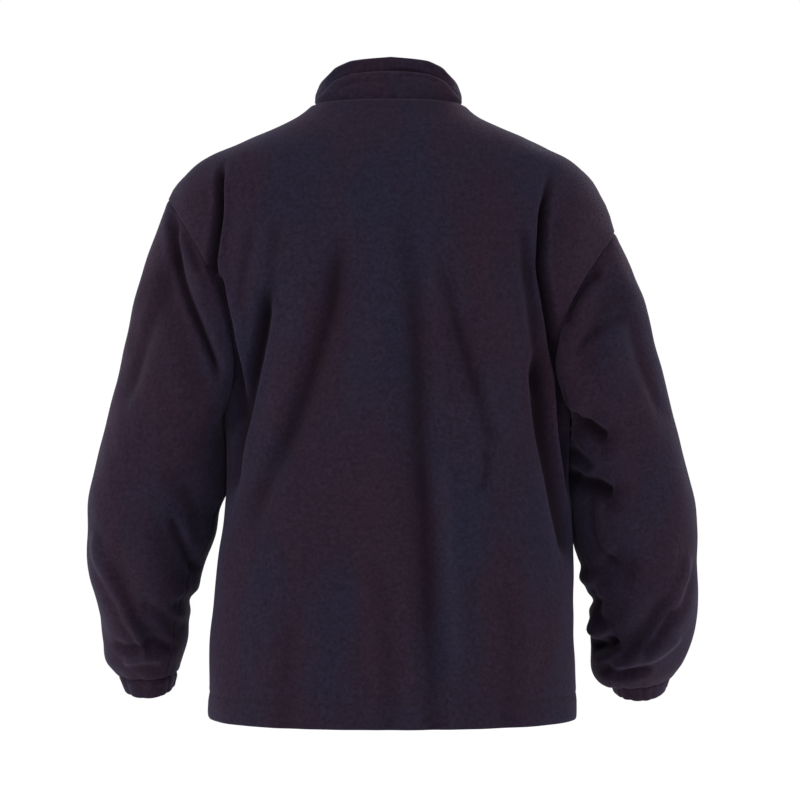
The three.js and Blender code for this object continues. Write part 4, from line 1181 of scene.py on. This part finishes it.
def top_frame(line):
    """The slider's place and the zip's direction there."""
    direction = line[-1] - line[-3]
    direction /= np.linalg.norm(direction)
    return line[-1] - direction * SLIDER_FROM_TOP, direction


def tooth_path(line, side, slider_z):
    """Where one row's teeth sit; above the slider they part with the tapes."""
    travelled = np.concatenate([[0], np.cumsum(np.linalg.norm(np.diff(line, axis=0), axis=1))])
    first = BOX["high"] + TOOTH_ROW_START + (TOOTH_PITCH / 2 if side > 0 else 0)
    last = travelled[-1] + STOP["low"] - TOOTH_ROW_END
    even = np.linspace(first, last, TOOTH_ROW_POINTS)
    path = np.column_stack([np.interp(even, travelled, column) for column in line.T])
    spread = smooth(slider_z, line[-1, 2], path[:, 2])
    path[:, 0] = side * (TAPE["spread"] - TAPE["inner"]) * spread
    outward = np.zeros_like(path)
    outward[:, 0] = side
    return path, outward


def tooth_shape():
    """One tooth: X up the zip, Z from the middle line towards its tape, Y through the cloth."""
    across, half = np.array(TOOTH).T
    outline = np.vstack([np.column_stack([half, across]), np.column_stack([-half, across])[::-1]])
    middle = outline.mean(axis=0)
    small = middle + (outline - middle) * TOOTH_TOP_SHARE
    levels = [(CHAIN_FRONT, small), (CHAIN_FRONT + TOOTH_CHAMFER, outline),
              (CHAIN_BACK - TOOTH_CHAMFER, outline), (CHAIN_BACK, small)]
    places = [np.column_stack([ring[:, 0], np.full(len(ring), y), ring[:, 1]]) for y, ring in levels]
    return np.vstack(places), tube_faces(len(outline), len(levels))


def tube_faces(count, levels):
    """Faces of a closed stack of rings, with a cap at each end."""
    faces = []
    for level in range(levels - 1):
        for k in range(count):
            a, b = level * count + k, level * count + (k + 1) % count
            faces.append((a, b, b + count, a + count))
    top = (levels - 1) * count
    return [*faces, tuple(range(count))[::-1], tuple(range(top, top + count))]


def rounded_block(low, high, corner=BLOCK_CORNER):
    """A block between two corners, with chamfered edges."""
    low, high = np.array(low, float), np.array(high, float)
    shapes = []
    for y, inset in ((low[1], corner), (low[1] + corner, 0), (high[1] - corner, 0), (high[1], corner)):
        x0, x1, z0, z1 = low[0] + inset, high[0] - inset, low[2] + inset, high[2] - inset
        c = corner
        ring = [(x0 + c, z0), (x1 - c, z0), (x1, z0 + c), (x1, z1 - c),
                (x1 - c, z1), (x0 + c, z1), (x0, z1 - c), (x0, z0 + c)]
        shapes.append([(x, y, z) for x, z in ring])
    return np.array(shapes).reshape(-1, 3), tube_faces(len(ring), len(shapes))


def rib(size, front, back, z):
    """A raised rib across the zip, as opposite corners and its chamfer."""
    return (-size["half"], front, z), (size["half"], back, z + size["thick"]), size["corner"]


def zip_ends(line):
    """The ribbed box at the hem and the two stops at the collar, as names and opposite corners."""
    bottom, top = line[0], line[-1]
    front = bottom[1] + BOX["front"]
    yield "box", [(-BOX["half"], front, bottom[2] + BOX["low"]),
                  (BOX["half"], bottom[1] + BOX["back"], bottom[2] + BOX["high"])]
    for k in range(BOX_RIBS["count"]):
        z = bottom[2] + BOX["low"] + BOX_RIBS["pitch"] * (k + 1)
        yield "box_rib", rib(BOX_RIBS, front - BOX_RIBS["height"], front + BOX_RIBS["root"], z)
    for side in SIDES.values():
        inner, outer = sorted(side * (TAPE["spread"] + STOP[edge]) for edge in ("inner", "outer"))
        yield "stop", [(inner, top[1] + STOP["front"], top[2] + STOP["low"]),
                       (outer, top[1] + STOP["back"], top[2] + STOP["high"])]


def pull_ribs():
    """Raised ribs across the pull tab's front and back."""
    low, high = (np.array(corner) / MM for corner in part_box("pull_tab"))
    for k in range(PULL_RIBS["count"]):
        z = high[2] - PULL_RIBS["first"] - k * PULL_RIBS["pitch"]
        yield rib(PULL_RIBS, low[1] - PULL_RIBS["height"], high[1] + PULL_RIBS["height"], z)


def softened_copy(name, node, finish):
    """A CAD node's shape with its edges bevelled."""
    work = bmesh.new()
    work.from_mesh(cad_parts[node].data)
    bmesh.ops.remove_doubles(work, verts=work.verts, dist=MERGE_DISTANCE)
    bmesh.ops.dissolve_limit(work, angle_limit=FLAT_ANGLE, verts=work.verts, edges=work.edges)
    mesh = bpy.data.meshes.new(name)
    work.to_mesh(mesh)
    work.free()
    mesh.materials.clear()
    mesh.materials.append(finish)
    piece = new_piece(name, mesh)
    bevel = piece.modifiers.new("edges", "BEVEL")
    bevel.width = METAL_BEVEL * MM
    bevel.segments = BEVEL_STEPS
    bevel.limit_method = "ANGLE"
    bevel.angle_limit = SOFT_ANGLE
    bevel.harden_normals = False
    return applied(piece)


def applied(piece):
    """The piece with its modifiers' result as its plain mesh."""
    graph = bpy.context.evaluated_depsgraph_get()
    mesh = bpy.data.meshes.new_from_object(piece.evaluated_get(graph))
    piece.modifiers.clear()
    piece.data = mesh
    return piece


def joined(name, pieces):
    """Several pieces made one."""
    mesh = bpy.data.meshes.new(name)
    work = bmesh.new()
    for piece in pieces:
        work.from_mesh(piece.data)
    work.to_mesh(mesh)
    work.free()
    mesh.materials.append(pieces[0].data.materials[0])
    for piece in pieces:
        bpy.data.objects.remove(piece)
    return new_piece(name, mesh)


def stitch_shape():
    """One stitch: a short grain of thread lying along X, pointed at both ends."""
    count, sides = STITCH["rings"], STITCH["sides"]
    half = STITCH["length"] / 2
    places = [(-half, 0, 0)]
    for ring in range(1, count):
        along = np.pi * ring / count
        radius = STITCH["width"] / 2 * np.sin(along) ** STITCH["blunt"]
        for k in range(sides):
            turn = 2 * np.pi * k / sides
            places.append((-half * np.cos(along), radius * np.cos(turn), radius * np.sin(turn)))
    places.append((half, 0, 0))
    faces = []
    for k in range(sides):
        j = (k + 1) % sides
        faces.append((0, 1 + j, 1 + k))
        for ring in range(count - 2):
            a, b = 1 + ring * sides + k, 1 + ring * sides + j
            faces.append((a, b, b + sides, a + sides))
        end = 1 + (count - 2) * sides
        faces.append((end + k, end + j, end + sides))
    return np.array(places), faces


def line_at(panel, edge, distance):
    """Places and outward directions on the outer side, at a distance from one edge."""
    far = panel.from_edge(edge)
    places, outward = panel.outer + panel.outward * STITCH["lift"], panel.outward
    if edge.endswith("column"):
        far, places, outward = far.T, places.transpose(1, 0, 2), outward.transpose(1, 0, 2)
    if edge.startswith("last"):
        far, places, outward = far[::-1], places[::-1], outward[::-1]
    after = np.clip((far < distance).sum(axis=0), 1, len(far) - 1)
    pick = np.arange(far.shape[1])
    share = (distance - far[after - 1, pick]) / (far[after, pick] - far[after - 1, pick])
    share = np.clip(share, 0, 1)[:, None]
    return tuple(blend(values[after - 1, pick], values[after, pick], share) for values in (places, outward))


def stitch_lines(panels):
    """Every line of stitching: its places, their outward directions, and whether it is closed."""
    lines = {"hem": [], "zip": [], "cuffs": []}
    for name in BODY_PANELS:
        lines["hem"].append((*line_at(panels[name], "first_row", HEM_DEPTH), False))
    for name, edge in (("left", "last_column"), ("right", "first_column")):
        for part, where in ((f"front_{name}", "first_column"), ("collar", edge)):
            places, outward = line_at(panels[part], where, ZIP_STITCH_INSET)
            keep = slice(STITCH_ENDS, -STITCH_ENDS)
            lines["zip"].append((places[keep], outward[keep], False))
    for name in SIDES:
        lines["cuffs"].append((*line_at(panels[f"sleeve_{name}"], "last_row", CUFF_STITCH_LINE), True))
    return lines


def row_of_shapes(name, lines, shape, pitch, finish):
    """Copies of one shape set along lines by Geometry Nodes, made a plain mesh."""
    places, outward, edges = [], [], []
    for line, direction, closed in lines:
        start, count = sum(map(len, places)), len(line)
        steps = [(start + k, start + k + 1) for k in range(count - 1)]
        edges += steps + ([(start + count - 1, start)] if closed else [])
        places.append(line)
        outward.append(direction)
    mesh = bpy.data.meshes.new(name)
    mesh.from_pydata((np.vstack(places) * MM).tolist(), edges, [])
    attribute = mesh.attributes.new("outward", "FLOAT_VECTOR", "POINT")
    attribute.data.foreach_set("vector", np.vstack(outward).astype(np.float32).ravel())
    piece = new_piece(name, mesh)
    modifier = piece.modifiers.new("row", "NODES")
    modifier.node_group = row_tree()
    values = {"Shape": shape, "Spacing": pitch * MM, "Material": finish}
    for item in modifier.node_group.interface.items_tree:
        if item.name in values:
            modifier[item.identifier] = values[item.name]
    return applied(piece)


def row_tree():
    """The node tree that sets one shape along lines: X along the line, Z outward."""
    if "row" in made:
        return made["row"]
    group = bpy.data.node_groups.new("row of shapes", "GeometryNodeTree")
    sockets = {"Geometry": "Geometry", "Shape": "Object", "Spacing": "Float", "Material": "Material"}
    for name, kind in sockets.items():
        group.interface.new_socket(name, in_out="INPUT", socket_type=f"NodeSocket{kind}")
    group.interface.new_socket("Geometry", in_out="OUTPUT", socket_type="NodeSocketGeometry")
    tree = Tree(group)
    given = group.nodes.new("NodeGroupInput")
    lines, shape, spacing, finish = (Value(tree, given.outputs[name]) for name in sockets)
    curves = tree.add("GeometryNodeMeshToCurve", {}, {"Mesh": lines})
    even = tree.add("GeometryNodeResampleCurve", {"mode": "LENGTH"}, {"Curve": curves, "Length": spacing})
    tangent = tree.add("GeometryNodeInputTangent")
    vector = {"data_type": "FLOAT_VECTOR"}
    outward = tree.add("GeometryNodeInputNamedAttribute", vector, {"Name": "outward"})
    along = tree.add("FunctionNodeAlignRotationToVector", {"axis": "X"}, {"Vector": tangent})
    turned = tree.add(
        "FunctionNodeAlignRotationToVector",
        {"axis": "Z", "pivot_axis": "X"},
        {"Rotation": along, "Vector": outward},
    )
    template = tree.add("GeometryNodeObjectInfo", {}, {"Object": shape}, output="Geometry")
    low, high = ROW_SIZES
    drawn = {"Min": low, "Max": high, "Seed": ROW_SEED}
    size = tree.add("FunctionNodeRandomValue", {"data_type": "FLOAT"}, drawn, output="Value")
    copies = tree.add(
        "GeometryNodeInstanceOnPoints",
        {},
        {"Points": even, "Instance": template, "Rotation": turned, "Scale": size},
    )
    whole = tree.add("GeometryNodeRealizeInstances", {}, {"Geometry": copies})
    dyed = tree.add("GeometryNodeSetMaterial", {}, {"Geometry": whole, "Material": finish})
    output = group.nodes.new("NodeGroupOutput")
    tree.feed(output.inputs["Geometry"], dyed)
    made["row"] = group
    return group


# Nodes and materials


class Value:
    """A number that varies over a surface: a node's output with Python's arithmetic."""

    def __init__(self, tree, socket):
        self.tree = tree
        self.socket = socket

    def _math(self, operation, *values):
        inputs = {i: value for i, value in enumerate(values)}
        return self.tree.add("ShaderNodeMath", {"operation": operation}, inputs)

    def __add__(self, other):
        return self._math("ADD", self, other)

    def __sub__(self, other):
        return self._math("SUBTRACT", self, other)

    def __rsub__(self, other):
        return self._math("SUBTRACT", other, self)

    def __mul__(self, other):
        return self._math("MULTIPLY", self, other)

    def __truediv__(self, other):
        return self._math("DIVIDE", self, other)

    def __pow__(self, other):
        return self._math("POWER", self, other)

    __radd__ = __add__
    __rmul__ = __mul__

    def sine(self):
        return self._math("SINE", self)

    def between(self, low, high):
        """How far the value has come from low to high, from 0 to 1."""
        share = (self - low) / (high - low)
        return self._math("MINIMUM", self._math("MAXIMUM", share, 0.0), 1.0)

    def wave(self, pitch, shift=0.0):
        """Even waves from 0 to 1, one for each pitch, shifted by an angle."""
        return (self * (2 * np.pi / pitch) + shift).sine() * 0.5 + 0.5


class Tree:
    """A node tree with one method that adds any node."""

    def __init__(self, nodes):
        self.nodes = nodes

    def add(self, kind, settings=None, inputs=None, output=0):
        node = self.nodes.nodes.new(kind)
        for name, value in (settings or {}).items():
            setattr(node, name, value)
        for name, value in (inputs or {}).items():
            self.feed(node.inputs[name], value)
        return Value(self, node.outputs[output])

    def feed(self, socket, value):
        if isinstance(value, Value):
            self.nodes.links.new(value.socket, socket)
        else:
            socket.default_value = value

    def places(self):
        return self.add("ShaderNodeTexCoord", output="Object")

    def along(self, axis):
        """How far each place lies along the object's axis 0, 1 or 2, in metres."""
        return self.add("ShaderNodeSeparateXYZ", {}, {0: self.places()}, output=axis)

    def noise(self, size, detail=2.0, roughness=0.5, places=None):
        """Cloudy noise, 0 to 1, whose lumps are about one size across (metres)."""
        inputs = {"Vector": places or self.places(), "Scale": 1 / size, "Detail": detail}
        return self.add("ShaderNodeTexNoise", {}, {**inputs, "Roughness": roughness})

    def stretched(self, factor):
        return self.add("ShaderNodeVectorMath", {"operation": "MULTIPLY"}, {0: self.places(), 1: factor})

    def mix(self, share, a, b):
        """A colour between two others."""
        settings = {"data_type": "RGBA"}
        return self.add("ShaderNodeMix", settings, {0: share, 6: a, 7: b}, output=2)

    def bump(self, height, distance, strength=1.0):
        return self.add(
            "ShaderNodeBump", {}, {"Strength": strength, "Distance": distance, "Height": height}
        )


def opaque(colour, share=1.0):
    """A colour with no transparency, made darker or lighter by a share."""
    return (*(part * share for part in tuple(colour)[:3]), 1.0)


def new_material(name, **constants):
    """A material whose shader already has its constant settings; gives it, its tree and its shader."""
    made_material = bpy.data.materials.new(name)
    made_material.use_nodes = True
    tree = Tree(made_material.node_tree)
    shader = made_material.node_tree.nodes["Principled BSDF"]
    for socket, value in constants.items():
        shader.inputs[socket.replace("_", " ")].default_value = value
    return made_material, tree, shader


def fleece_material(cloth_settings, zip_settings):
    """Brushed knit: a soft nap in small clumps, slightly patchy in colour, with a velvety edge, painted
    shade in its folds and a painted highlight on their ridges.
    """
    made_material, tree, shader = new_material(
        "fleece",
        Sheen_Weight=0.06,
        Sheen_Roughness=0.5,
        Sheen_Tint=(0.6, 0.5, 0.8, 1),
        Specular_IOR_Level=0.04,
    )
    shade, light, warm, cool, fold_shade_colour, painted_ridge_light = (
        opaque(getattr(cloth_settings, f"fleece_{name}"))
        for name in ("shade", "light", "warm", "cool", "hollow", "painted_ridge_light")
    )
    clumps = tree.noise(NAP["clumps"], 3.0, 0.6)
    fibres = tree.noise(NAP["fibres"], 4.0, 0.6)
    patches = tree.noise(NAP["patches"], 2.0, places=tree.stretched(PATCH_STRETCH))
    tufts = (clumps * 0.6 + fibres * 0.4).between(0.28, 0.7345)
    tips = tree.mix(patches.between(0.48, 0.68) * 0.9, light, warm)
    tips = tree.mix(patches.between(0.5, 0.3) * 0.9, tips, cool)
    base = tree.mix(tufts, shade, tips)
    # Painted shade: the folds' depth darkens the colour towards the fold colour
    hollow = tree.add("ShaderNodeAttribute", {"attribute_name": "hollow"}, output="Fac")
    base = tree.mix(hollow.between(0, 1) * 0.85, base, fold_shade_colour)
    # Painted highlight: the fold ridges are lightened towards the ridge colour
    base = tree.mix(hollow.between(0, -2), base, painted_ridge_light)
    tree.feed(shader.inputs["Base Color"], base)
    tree.feed(shader.inputs["Roughness"], 0.98 - fibres * 0.12)
    tree.feed(shader.inputs["Normal"], tree.bump(clumps * 0.62 + fibres * 0.38, NAP["depth"], 0.75))
    return made_material


def tape_material(cloth_settings, zip_settings):
    """Woven zip tape: fine ribs up the tape crossed by finer picks."""
    made_material, tree, shader = new_material("zip_tape", Sheen_Weight=0.1, Specular_IOR_Level=0.3)
    ribs = tree.along(0).wave(WEAVE["ribs"])
    picks = tree.along(2).wave(WEAVE["picks"], ribs * 2.0)
    weave = ribs * 0.65 + picks * 0.35
    colour = zip_settings.tape_colour
    tree.feed(shader.inputs["Base Color"], tree.mix(weave, opaque(colour, 0.7), opaque(colour, 1.25)))
    tree.feed(shader.inputs["Roughness"], 0.86 - weave * 0.12)
    tree.feed(shader.inputs["Normal"], tree.bump(weave, WEAVE["depth"], 0.8))
    return made_material


def thread_material(cloth_settings, zip_settings):
    """Twisted sewing thread, a little glossier than the nap."""
    made_material, tree, shader = new_material("thread", Sheen_Weight=0.02, Specular_IOR_Level=0.12)
    twist = tree.noise(THREAD["twist"], 1.0).between(0.1875, 0.8125)
    colour = cloth_settings.thread_colour
    tree.feed(shader.inputs["Base Color"], tree.mix(twist, opaque(colour, 0.7), opaque(colour)))
    tree.feed(shader.inputs["Roughness"], 0.6 + twist * 0.2)
    tree.feed(shader.inputs["Normal"], tree.bump(twist, THREAD["depth"], 0.6))
    return made_material


def teeth_material(cloth_settings, zip_settings):
    """Moulded plastic with a fine satin grain."""
    made_material, tree, shader = new_material("zip_teeth", Specular_IOR_Level=0.5)
    grain = tree.noise(PLASTIC["grain"], 2.0)
    clouds = tree.noise(PLASTIC["clouds"], 1.0)
    colour = zip_settings.teeth_colour
    tree.feed(shader.inputs["Base Color"], tree.mix(clouds, opaque(colour, 0.85), opaque(colour, 1.2)))
    tree.feed(shader.inputs["Roughness"], 0.38 + grain * 0.14)
    tree.feed(shader.inputs["Normal"], tree.bump(grain, PLASTIC["depth"], 0.5))
    return made_material


def metal_material(cloth_settings, zip_settings):
    """Dark painted metal, worn to a warmer grey in spots and scuffs."""
    made_material, tree, shader = new_material("zip_metal", Specular_IOR_Level=0.5)
    grain = tree.noise(PAINT["grain"], 2.0)
    scuffs = tree.noise(PAINT["scuffs"], 4.0, 0.7).between(0.6143, 0.7571)
    paint, bare = opaque(zip_settings.paint_colour), opaque(zip_settings.bare_colour)
    tree.feed(shader.inputs["Base Color"], tree.mix(scuffs, paint, bare))
    tree.feed(shader.inputs["Metallic"], 0.35 + scuffs * 0.55)
    tree.feed(shader.inputs["Roughness"], 0.42 + grain * 0.12 - scuffs * 0.08)
    tree.feed(shader.inputs["Normal"], tree.bump(grain + scuffs * -0.6, PAINT["depth"], 0.6))
    return made_material


MATERIALS = {
    "fleece": fleece_material,
    "tape": tape_material,
    "thread": thread_material,
    "teeth": teeth_material,
    "metal": metal_material,
}


# The operators and the stage


def finish_sheet(piece, slot, node):
    """Finishes a sheet of cloth, which stands in for its node."""
    finish_piece(piece, slot, node)


def make_panel(context, name):
    places, faces, hollow = wall_mesh(cloth(context)[name])
    piece = mesh_piece(f"{name}_cloth", places, faces, material(context, "fleece"), hollow=hollow)
    finish_sheet(piece, "fleece", name)


class JACKET_OT_body(bpy.types.Operator):
    """Make the back and the two fronts, with their turned-up hem"""

    bl_idname = "jacket.body"
    bl_label = "Back and fronts"

    def execute(self, context):
        for name in BODY_PANELS:
            make_panel(context, name)
        return {"FINISHED"}


class JACKET_OT_collar(bpy.types.Operator):
    """Make the stand collar with its bulging band and crease"""

    bl_idname = "jacket.collar"
    bl_label = "Collar"

    def execute(self, context):
        make_panel(context, "collar")
        return {"FINISHED"}


class JACKET_OT_sleeves(bpy.types.Operator):
    """Make both set-in sleeves"""

    bl_idname = "jacket.sleeves"
    bl_label = "Sleeves"

    def execute(self, context):
        for name in SIDES:
            make_panel(context, f"sleeve_{name}")
        return {"FINISHED"}


class JACKET_OT_cuffs(bpy.types.Operator):
    """Make both gathered elastic cuffs"""

    bl_idname = "jacket.cuffs"
    bl_label = "Cuffs"

    def execute(self, context):
        for name in SIDES:
            make_panel(context, f"cuff_{name}")
        return {"FINISHED"}


class JACKET_OT_zip_tapes(bpy.types.Operator):
    """Make the two woven tapes behind the fronts' edges"""

    bl_idname = "jacket.zip_tapes"
    bl_label = "Zip tapes"

    def execute(self, context):
        for name in SIDES:
            panel = tape_panel(cloth(context), name)
            places, faces, _ = wall_mesh(panel)
            piece = mesh_piece(f"tape_{name}", places, faces, material(context, "tape"))
            finish_sheet(piece, "zip_tape", f"zip_tape_{name}")
        return {"FINISHED"}


class JACKET_OT_zip_teeth(bpy.types.Operator):
    """Make the moulded teeth, the box at the hem and the stops at the collar"""

    bl_idname = "jacket.zip_teeth"
    bl_label = "Zip teeth"

    def execute(self, context):
        teeth = material(context, "teeth")
        shape = mesh_piece("tooth", *tooth_shape(), teeth, soft=False)
        line = zip_line(cloth(context))
        slider_z = top_frame(line)[0][2]
        pieces = []
        for name, side in SIDES.items():
            path, outward = tooth_path(line, side, slider_z)
            row = row_of_shapes(f"teeth_{name}", [(path, outward, False)], shape, TOOTH_PITCH, teeth)
            pieces.append(row)
        for ends, spans in zip_ends(line):
            pieces.append(mesh_piece(ends, *rounded_block(*spans), teeth, soft=False))
        bpy.data.objects.remove(shape)
        chain = joined("teeth", pieces)
        finish_piece(chain, "zip_teeth", "zip_chain")
        return {"FINISHED"}


class JACKET_OT_zip_metal(bpy.types.Operator):
    """Make the slider and the ribbed pull tab"""

    bl_idname = "jacket.zip_metal"
    bl_label = "Slider and pull tab"

    def execute(self, context):
        metal = material(context, "metal")
        slider = softened_copy("slider", "zip_slider", metal)
        finish_piece(slider, "zip_metal", "zip_slider")
        pull = softened_copy("pull", "pull_tab", metal)
        ribs = [mesh_piece("rib", *rounded_block(*spans), metal, soft=False) for spans in pull_ribs()]
        pull = joined("pull", [pull, *ribs])
        finish_piece(pull, "zip_metal", "pull_tab", body=PULL_BODY)
        return {"FINISHED"}


class JACKET_OT_stitches(bpy.types.Operator):
    """Sew the hem, the zip's edges and the cuffs"""

    bl_idname = "jacket.stitches"
    bl_label = "Stitches"

    def execute(self, context):
        thread = material(context, "thread")
        shape = mesh_piece("stitch", *stitch_shape(), thread)
        for name, lines in stitch_lines(cloth(context)).items():
            row = row_of_shapes(f"stitches_{name}", lines, shape, STITCH["pitch"], thread)
            finish_piece(row, "fleece")
        bpy.data.objects.remove(shape)
        return {"FINISHED"}


class JACKET_OT_stage(bpy.types.Operator):
    """Make the pale floor, the soft studio light and the camera"""

    bl_idname = "jacket.stage"
    bl_label = "Stage"

    def execute(self, context):
        settings = context.scene.jacket_stage
        make_floor(settings)
        make_lights(settings)
        make_camera()
        return {"FINISHED"}


def make_floor(settings):
    """A round pale floor that fades out towards its edge."""
    rings_count, spokes = FLOOR["rings"], FLOOR["spokes"]
    places = [(0, 0, 0)]
    for ring in range(1, rings_count + 1):
        radius = FLOOR["radius"] * ring / rings_count
        for spoke in range(spokes):
            turn = 2 * np.pi * spoke / spokes
            places.append((radius * np.cos(turn), radius * np.sin(turn), 0))
    faces = [(0, 1 + spoke, 1 + (spoke + 1) % spokes) for spoke in range(spokes)]
    for ring in range(rings_count - 1):
        for spoke in range(spokes):
            a, b = 1 + ring * spokes + spoke, 1 + ring * spokes + (spoke + 1) % spokes
            faces.append((a, a + spokes, b + spokes, b))
    places = np.array(places, float) + (0, 0, settings.floor_z / MM)
    made_material, tree, shader = new_material("floor", Roughness=0.9, Specular_IOR_Level=0.2)
    x, y = tree.along(0), tree.along(1)
    fade = ((x * x + y * y) ** 0.5).between(*FLOOR["fade"])
    grain = tree.noise(FLOOR["grain"], 2.0)
    colour = settings.floor_colour
    tree.feed(shader.inputs["Base Color"], tree.mix(grain, opaque(colour, 0.985), opaque(colour)))
    clear = tree.add("ShaderNodeBsdfTransparent")
    surface = tree.add("ShaderNodeMixShader", {}, {0: fade, 1: Value(tree, shader.outputs[0]), 2: clear})
    output = tree.nodes.nodes["Material Output"]
    tree.feed(output.inputs["Surface"], surface)
    mesh_piece("floor", places, faces, made_material)


def make_lights(settings):
    for name, place, size, share in LIGHTS:
        light = bpy.data.lights.new(name, "AREA")
        light.energy = settings.key_power * share
        light.size = size
        lamp = bpy.data.objects.new(name, light)
        lamp.location = place
        lamp.rotation_euler = (Vector(LOOK_AT) - Vector(place)).to_track_quat("-Z", "Y").to_euler()
        bpy.context.scene.collection.objects.link(lamp)
    world = bpy.data.worlds.new("studio")
    world.use_nodes = True
    background = world.node_tree.nodes["Background"]
    background.inputs["Color"].default_value = opaque(settings.sky_colour)
    background.inputs["Strength"].default_value = settings.sky_strength
    bpy.context.scene.world = world
    bpy.context.scene.view_settings.view_transform = "Standard"


def make_camera():
    data = bpy.data.cameras.new("photo_view")
    data.lens = LENS
    camera = bpy.data.objects.new("photo_view", data)
    camera.location = CAMERA_AT
    camera.rotation_euler = (np.pi / 2, 0, np.pi)
    bpy.context.scene.collection.objects.link(camera)
    bpy.context.scene.camera = camera


# The settings, the panel and the start


def length(name, description, default):
    return bpy.props.FloatProperty(
        name=name, description=description, default=default, min=0.0, unit="LENGTH", precision=4
    )


def colour(name, description, default):
    return bpy.props.FloatVectorProperty(
        name=name, description=description, default=default, size=3, min=0.0, max=1.0, subtype="COLOR"
    )


class JacketCloth(bpy.types.PropertyGroup):
    fleece_thickness: length("Fleece", "Thickness of the body's and sleeves' fleece", 0.0026)
    collar_thickness: length("Collar", "Thickness of the doubled collar", 0.0044)
    cuff_thickness: length("Cuff", "Thickness of the elastic cuff", 0.0034)
    wrinkle_height: length("Wrinkles", "Height of the small swells all over the cloth", 0.0011)
    fleece_shade: colour("Deep navy", "Colour between the nap's tufts", (0.0046, 0.0028, 0.0062))
    fleece_light: colour("Tuft navy", "Colour on the nap's tufts", (0.0158, 0.0104, 0.0208))
    fleece_warm: colour("Patch navy", "Colour of the slightly redder patches", (0.0200, 0.0094, 0.0172))
    fleece_cool: colour("Cool navy", "Colour of the slightly bluer patches", (0.0112, 0.0122, 0.0262))
    # Painted shade: the colour laid into folds and creases, where shade falls
    fleece_hollow: colour("Fold navy", "Colour where the nap lies flat in folds", (0.0040, 0.0018, 0.0038))
    # Painted highlight: the colour laid on fold ridges, where light falls
    fleece_painted_ridge_light: colour("Ridge navy", "Colour where the nap stands up on ridges", (0.0290, 0.0230, 0.0370))
    thread_colour: colour("Thread", "Colour of the sewing thread", (0.0060, 0.0042, 0.0085))


class JacketZip(bpy.types.PropertyGroup):
    tape_colour: colour("Tape", "Colour of the zip tape", (0.012, 0.011, 0.018))
    teeth_colour: colour("Teeth", "Colour of the moulded teeth", (0.012, 0.011, 0.016))
    paint_colour: colour("Paint", "Colour of the slider's paint", (0.02, 0.02, 0.024))
    bare_colour: colour("Bare metal", "Colour where the paint is scuffed", (0.16, 0.155, 0.15))


class JacketStage(bpy.types.PropertyGroup):
    floor_z: bpy.props.FloatProperty(
        name="Floor height", description="Height of the floor under the neck", default=-1.02, unit="LENGTH"
    )
    floor_colour: colour("Floor", "Colour of the floor", (0.9, 0.9, 0.9))
    sky_colour: colour("Surround", "Colour of the studio's surround", (1.0, 1.0, 1.0))
    sky_strength: bpy.props.FloatProperty(
        name="Surround strength", description="Strength of the studio's surround", default=1.0, min=0.0
    )
    key_power: bpy.props.FloatProperty(
        name="Key power", description="Power of the key light", default=84.0, min=0.0, unit="POWER"
    )


GROUPS = {"jacket_cloth": JacketCloth, "jacket_zip": JacketZip, "jacket_stage": JacketStage}
OPERATORS = (
    JACKET_OT_body,
    JACKET_OT_collar,
    JACKET_OT_sleeves,
    JACKET_OT_cuffs,
    JACKET_OT_zip_tapes,
    JACKET_OT_zip_teeth,
    JACKET_OT_zip_metal,
    JACKET_OT_stitches,
    JACKET_OT_stage,
)


class JACKET_PT_pieces(bpy.types.Panel):
    """Settings and one button for each part of the jacket"""

    bl_idname = "JACKET_PT_pieces"
    bl_label = "Fleece zip jacket"
    bl_space_type = "VIEW_3D"
    bl_region_type = "UI"
    bl_category = "Jacket"

    def draw(self, context):
        for name, group in GROUPS.items():
            box = self.layout.box()
            for prop in group.__annotations__:
                box.prop(getattr(context.scene, name), prop)
        for operator in OPERATORS:
            self.layout.operator(operator.bl_idname)


CLASSES = (*GROUPS.values(), *OPERATORS, JACKET_PT_pieces)


def register():
    for cls in CLASSES:
        bpy.utils.register_class(cls)
    for name, group in GROUPS.items():
        setattr(bpy.types.Scene, name, bpy.props.PointerProperty(type=group))


def unregister():
    for name in GROUPS:
        delattr(bpy.types.Scene, name)
    for cls in reversed(CLASSES):
        bpy.utils.unregister_class(cls)


def main():
    register()
    for operator in OPERATORS:
        group, name = operator.bl_idname.split(".")
        getattr(getattr(bpy.ops, group), name)()


if __name__ == "__main__":
    main()
